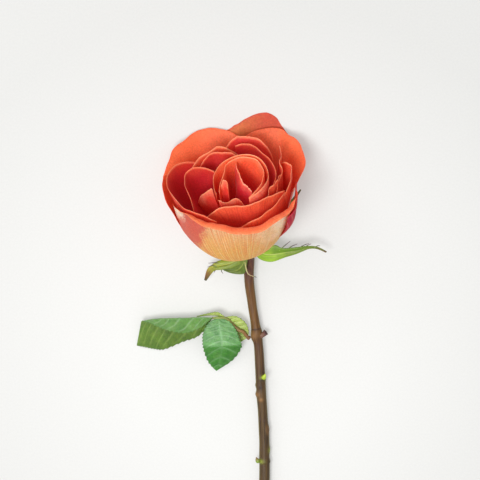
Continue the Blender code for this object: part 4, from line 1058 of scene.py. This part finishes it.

# %% [markdown]
# ## The leaf
# One leaf with four leaflets hangs to the left. Its end leaflet is folded along the midrib, so that the pale
# blue-green underside of one half lies over the olive upper face of the other. Leaf skin is waxy on top and
# matt below, so the material takes its colour from the face, the veins and the edge. Light and shade along
# a leaflet, and the shade on the folded leaflet's lower half, are painted into that colour as well.

# %% Leaf shapes
STALK_CENTRES = [(0.95, -56.7, 4.6), (-0.3, -55.6, 5.4), (-2.4, -52.6, 6.9), (-5, -51.4, 7.3),
                 (-8.7, -47.8, 7.6), (-11.6, -44.8, 8), (-15.4, -44.2, 8.2), (-19.6, -44.4, 8.4)]
STALK_RADII = [1.25, 1.05, 0.95, 0.9, 0.8, 0.8, 0.75, 0.6]
LEAFLETS = [
    Blade("end",
          ((-19.4, -44.1, 9.2), (-26.8, -48.9, 15), (-35.2, -50.7, 17.5), (-43.6, -49.4, 16.5),
           (-49.4, -48, 13.5), (-54.2, -46.9, 9.8), (-58.2, -46.3, 6.8)),
          ((-19.4, -44.4, 8.3), (-26.2, -44, 8.6), (-34.4, -44.3, 8.4), (-43, -44.7, 7.8),
           (-49, -45.1, 7.2), (-54.2, -45.8, 6.4), (-58.8, -47.2, 5)),
          ((-19.8, -45, 7.4), (-26.8, -55, 4.6), (-36, -59.4, 2.2), (-46.2, -64, 0.9),
           (-51.8, -63.8, 0.7), (-57, -62.6, 0.7), (-61.4, -61.8, 0.7)),
          teeth=20, tooth=0.9, bulge=0.8, skin="folded"),
    Blade("front",
          ((-16.8, -44.4, 8.2), (-21.6, -47.2, 8.6), (-24.2, -51.9, 9), (-24.8, -57, 8.8),
           (-24.2, -62.6, 7.2), (-21.9, -70.2, 3.4), (-18.1, -75.5, 1.2)),
          ((-15.8, -44.2, 8.2), (-15.6, -48.2, 9.4), (-14.8, -52.8, 9.9), (-14.2, -57.6, 10),
           (-14.2, -62.2, 8.8), (-15.6, -69.8, 4.4), (-17.2, -76.2, 0.9)),
          ((-14.6, -44.2, 8.2), (-9.4, -47, 8.9), (-6.2, -51.4, 9.2), (-4.4, -56.4, 9.2),
           (-3.4, -61, 7.8), (-7.8, -69, 3.7), (-16.3, -75.5, 1.2)),
          teeth=17, tooth=0.9, bulge=0.5, skin="pale"),
    Blade("right",
          ((-12.2, -44, 7.7), (-6.8, -43.6, 7.2), (-1.7, -47, 6.3), (0.4, -51.6, 5.2), (0, -55.8, 4.3),
           (-4, -59.4, 3.3)),
          ((-12.4, -44.5, 7.6), (-8.6, -46.3, 6.7), (-5.4, -50, 5.6), (-4.2, -53.6, 4.7), (-4.2, -56.8, 4),
           (-4.6, -59.7, 3.2)),
          ((-12.6, -45, 7.5), (-11.6, -48.6, 6.4), (-9.7, -52.8, 5.2), (-8.4, -56.2, 4.4),
           (-6.8, -58.3, 3.8), (-5.2, -59.8, 3.1)),
          teeth=12, tooth=0.5, bulge=0.3, skin="olive"),
    Blade("small",
          ((-12.4, -43.8, 8.1), (-16.8, -41.3, 7.4), (-22.8, -42.5, 6.8), (-28, -43.8, 6.4)),
          ((-12.6, -44.2, 8), (-16.8, -42.6, 7), (-22.6, -43.2, 6.2), (-28, -44, 6.2)),
          ((-12.8, -44.5, 7.9), (-17, -43.6, 6), (-22.4, -43.6, 5.4), (-27.8, -44.2, 5.9)),
          teeth=9, tooth=0.3, skin="olive"),
]
LEAFLET_THICK = 0.38
LEAFLET_SEED, STALK_SEED = 400, 430
EVEN_LIGHT = ((0.0, 1.0), (1.0, 1.0))


def leaf_material(name, front, behind, vein_front, vein_behind, painted_light_along=EVEN_LIGHT, far_half_light=1.0):
    """Leaf skin: a colour for each face with lighter veins, mottling between them and a darker, thin edge.

    A ramp of painted light and shade gives shares of light along the blade, and the half past the midrib
    takes its own share, painted shade where it lies under the other half.
    """
    material, tree = new_material(name)
    side, edge, vein, along, half = (add(tree, "Attribute", attribute_name=key).outputs["Fac"]
                                     for key in ("side", "edge", "vein", "along", "half"))
    place = add(tree, "TexCoord").outputs["Object"]
    mottle = add(tree, "TexNoise", {"Vector": place, "Scale": 180.0, "Detail": 5.0, "Roughness": 0.6})
    face_colours = []
    for tones, vein_colour in ((behind, vein_behind), (front, vein_front)):
        ramp = add(tree, "ValToRGB", {"Fac": mottle}, list(zip((0.32, 0.52, 0.72), tones)))
        face_colours.append(lay(tree, ramp, [(product(tree, vein, 0.75), vein_colour)]))
    net = add(tree, "TexVoronoi", {"Vector": place, "Scale": 900.0}, feature="DISTANCE_TO_EDGE")
    net = net.outputs["Distance"]
    net_line = add(tree, "MapRange", [net, 0.0, 0.12, 0.25, 0.0])
    edge_line = add(tree, "MapRange", [edge, 0.965, 1.0, 0.0, 0.5])
    colour = lay(tree, face_colours[0], [
        (side, face_colours[1]), (net_line, vein_front), (edge_line, "#4A6A2C")])

    wrinkle = add(tree, "TexNoise", {"Vector": place, "Scale": 420.0, "Detail": 4.0, "Roughness": 0.65})
    wobble = add(tree, "Math", [mottle, 0.12, -0.06], operation="MULTIPLY_ADD")
    reach = add(tree, "Math", [along, wobble], operation="ADD")
    # Painted light and shade: the blade is lighter or darker along its length, with a painted highlight and
    # shade across the pale leaflet. The folded leaflet's half under the other is darkened as painted shade, and
    # where the blade is darker its colour is also more saturated.
    painted_light_share = add(tree, "ValToRGB", {"Fac": reach}, painted_light_along)
    far_half_painted_shade = add(tree, "MapRange", [half, 0.0, 0.06, 1.0, far_half_light])
    patches = add(tree, "MapRange", [wrinkle, 0.3, 0.7, 0.84, 1.14])
    depth = add(tree, "MapRange", [painted_light_share, 0.6, 1.0, 1.35, 1.0])
    light = product(tree, painted_light_share, far_half_painted_shade, patches)
    lit = add(tree, "HueSaturation", {"Color": colour, "Value": light, "Saturation": depth})
    relief = add(tree, "Math", [net, 0.5, wrinkle], operation="MULTIPLY_ADD")
    bump = add(tree, "Bump", {"Height": relief, "Strength": 0.5, "Distance": 0.0006})
    rough = add(tree, "MapRange", [mottle, 0.0, 1.0, 0.42, 0.62])
    show(tree, {"Base Color": lit, "Normal": bump, "Roughness": rough, "Subsurface Weight": 0.2,
                "Subsurface Radius": (0.4, 1.0, 0.15), "Subsurface Scale": 0.0006})
    return material


OLIVE_TONES = ("#88A048", "#98AC50", "#A8B860")
LEAF_SKINS = {
    "folded": leaf_material("folded_leaf_skin", ("#466818", "#54761A", "#648024"),
                            ("#4C843E", "#62964A", "#7AA860"), "#7A9440", "#8CB480", far_half_light=0.9),
    "pale": leaf_material("blue_green_leaf_skin", ("#447A3E", "#5A8E4C", "#76A264"),
                          ("#3A6A34", "#48783C", "#5A8848"), "#84AC7C", "#6E9A58",
                          painted_light_along=((0.0, 0.82), (0.12, 1.0), (0.48, 1.0), (0.58, 1.16), (0.62, 0.7),
                                (0.75, 0.62), (1.0, 0.7))),
    "olive": leaf_material("olive_leaf_skin", OLIVE_TONES, OLIVE_TONES, "#B8C47A", "#B8C47A"),
}
TOOTH_ROWS = 14
for number, leaflet in enumerate(LEAFLETS):
    points, values = blade_points(leaflet, leaflet.teeth * TOOTH_ROWS, half_columns=26, veins=8,
                                  vein_depth=0.28, seed=LEAFLET_SEED + number)
    points[..., 2] = np.maximum(points[..., 2], LEAFLET_THICK / 2)
    shell = blade_shell(points, LEAFLET_THICK, values)
    new_piece("leaflet_" + leaflet.name, shell, LEAF_SKINS[leaflet.skin], "leaf")
STALK_SKIN = plant_material("leaf_stalk_skin", [(0.0, "#6E4A38"), (0.25, "#8A6238"), (0.5, "#7E6A34"),
                                                (0.8, "#7E9040")], "#5E4428", 0.5)
points, line, ring, angle = tube_points(STALK_CENTRES, STALK_RADII, rings=120, sides=24)
groove = -0.15 * around(angle[None, :], 90, 25)
groove = groove + 0.04 * ripples(line[:, :1] * 0.8, 3 * np.cos(angle)[None, :], STALK_SEED)
new_piece("leaf_stalk", tube_shell(points + ring * groove[..., None]), STALK_SKIN, "leaf")
print("leaflets:", len(LEAFLETS))

# %% Finish
bpy.context.view_layer.update()
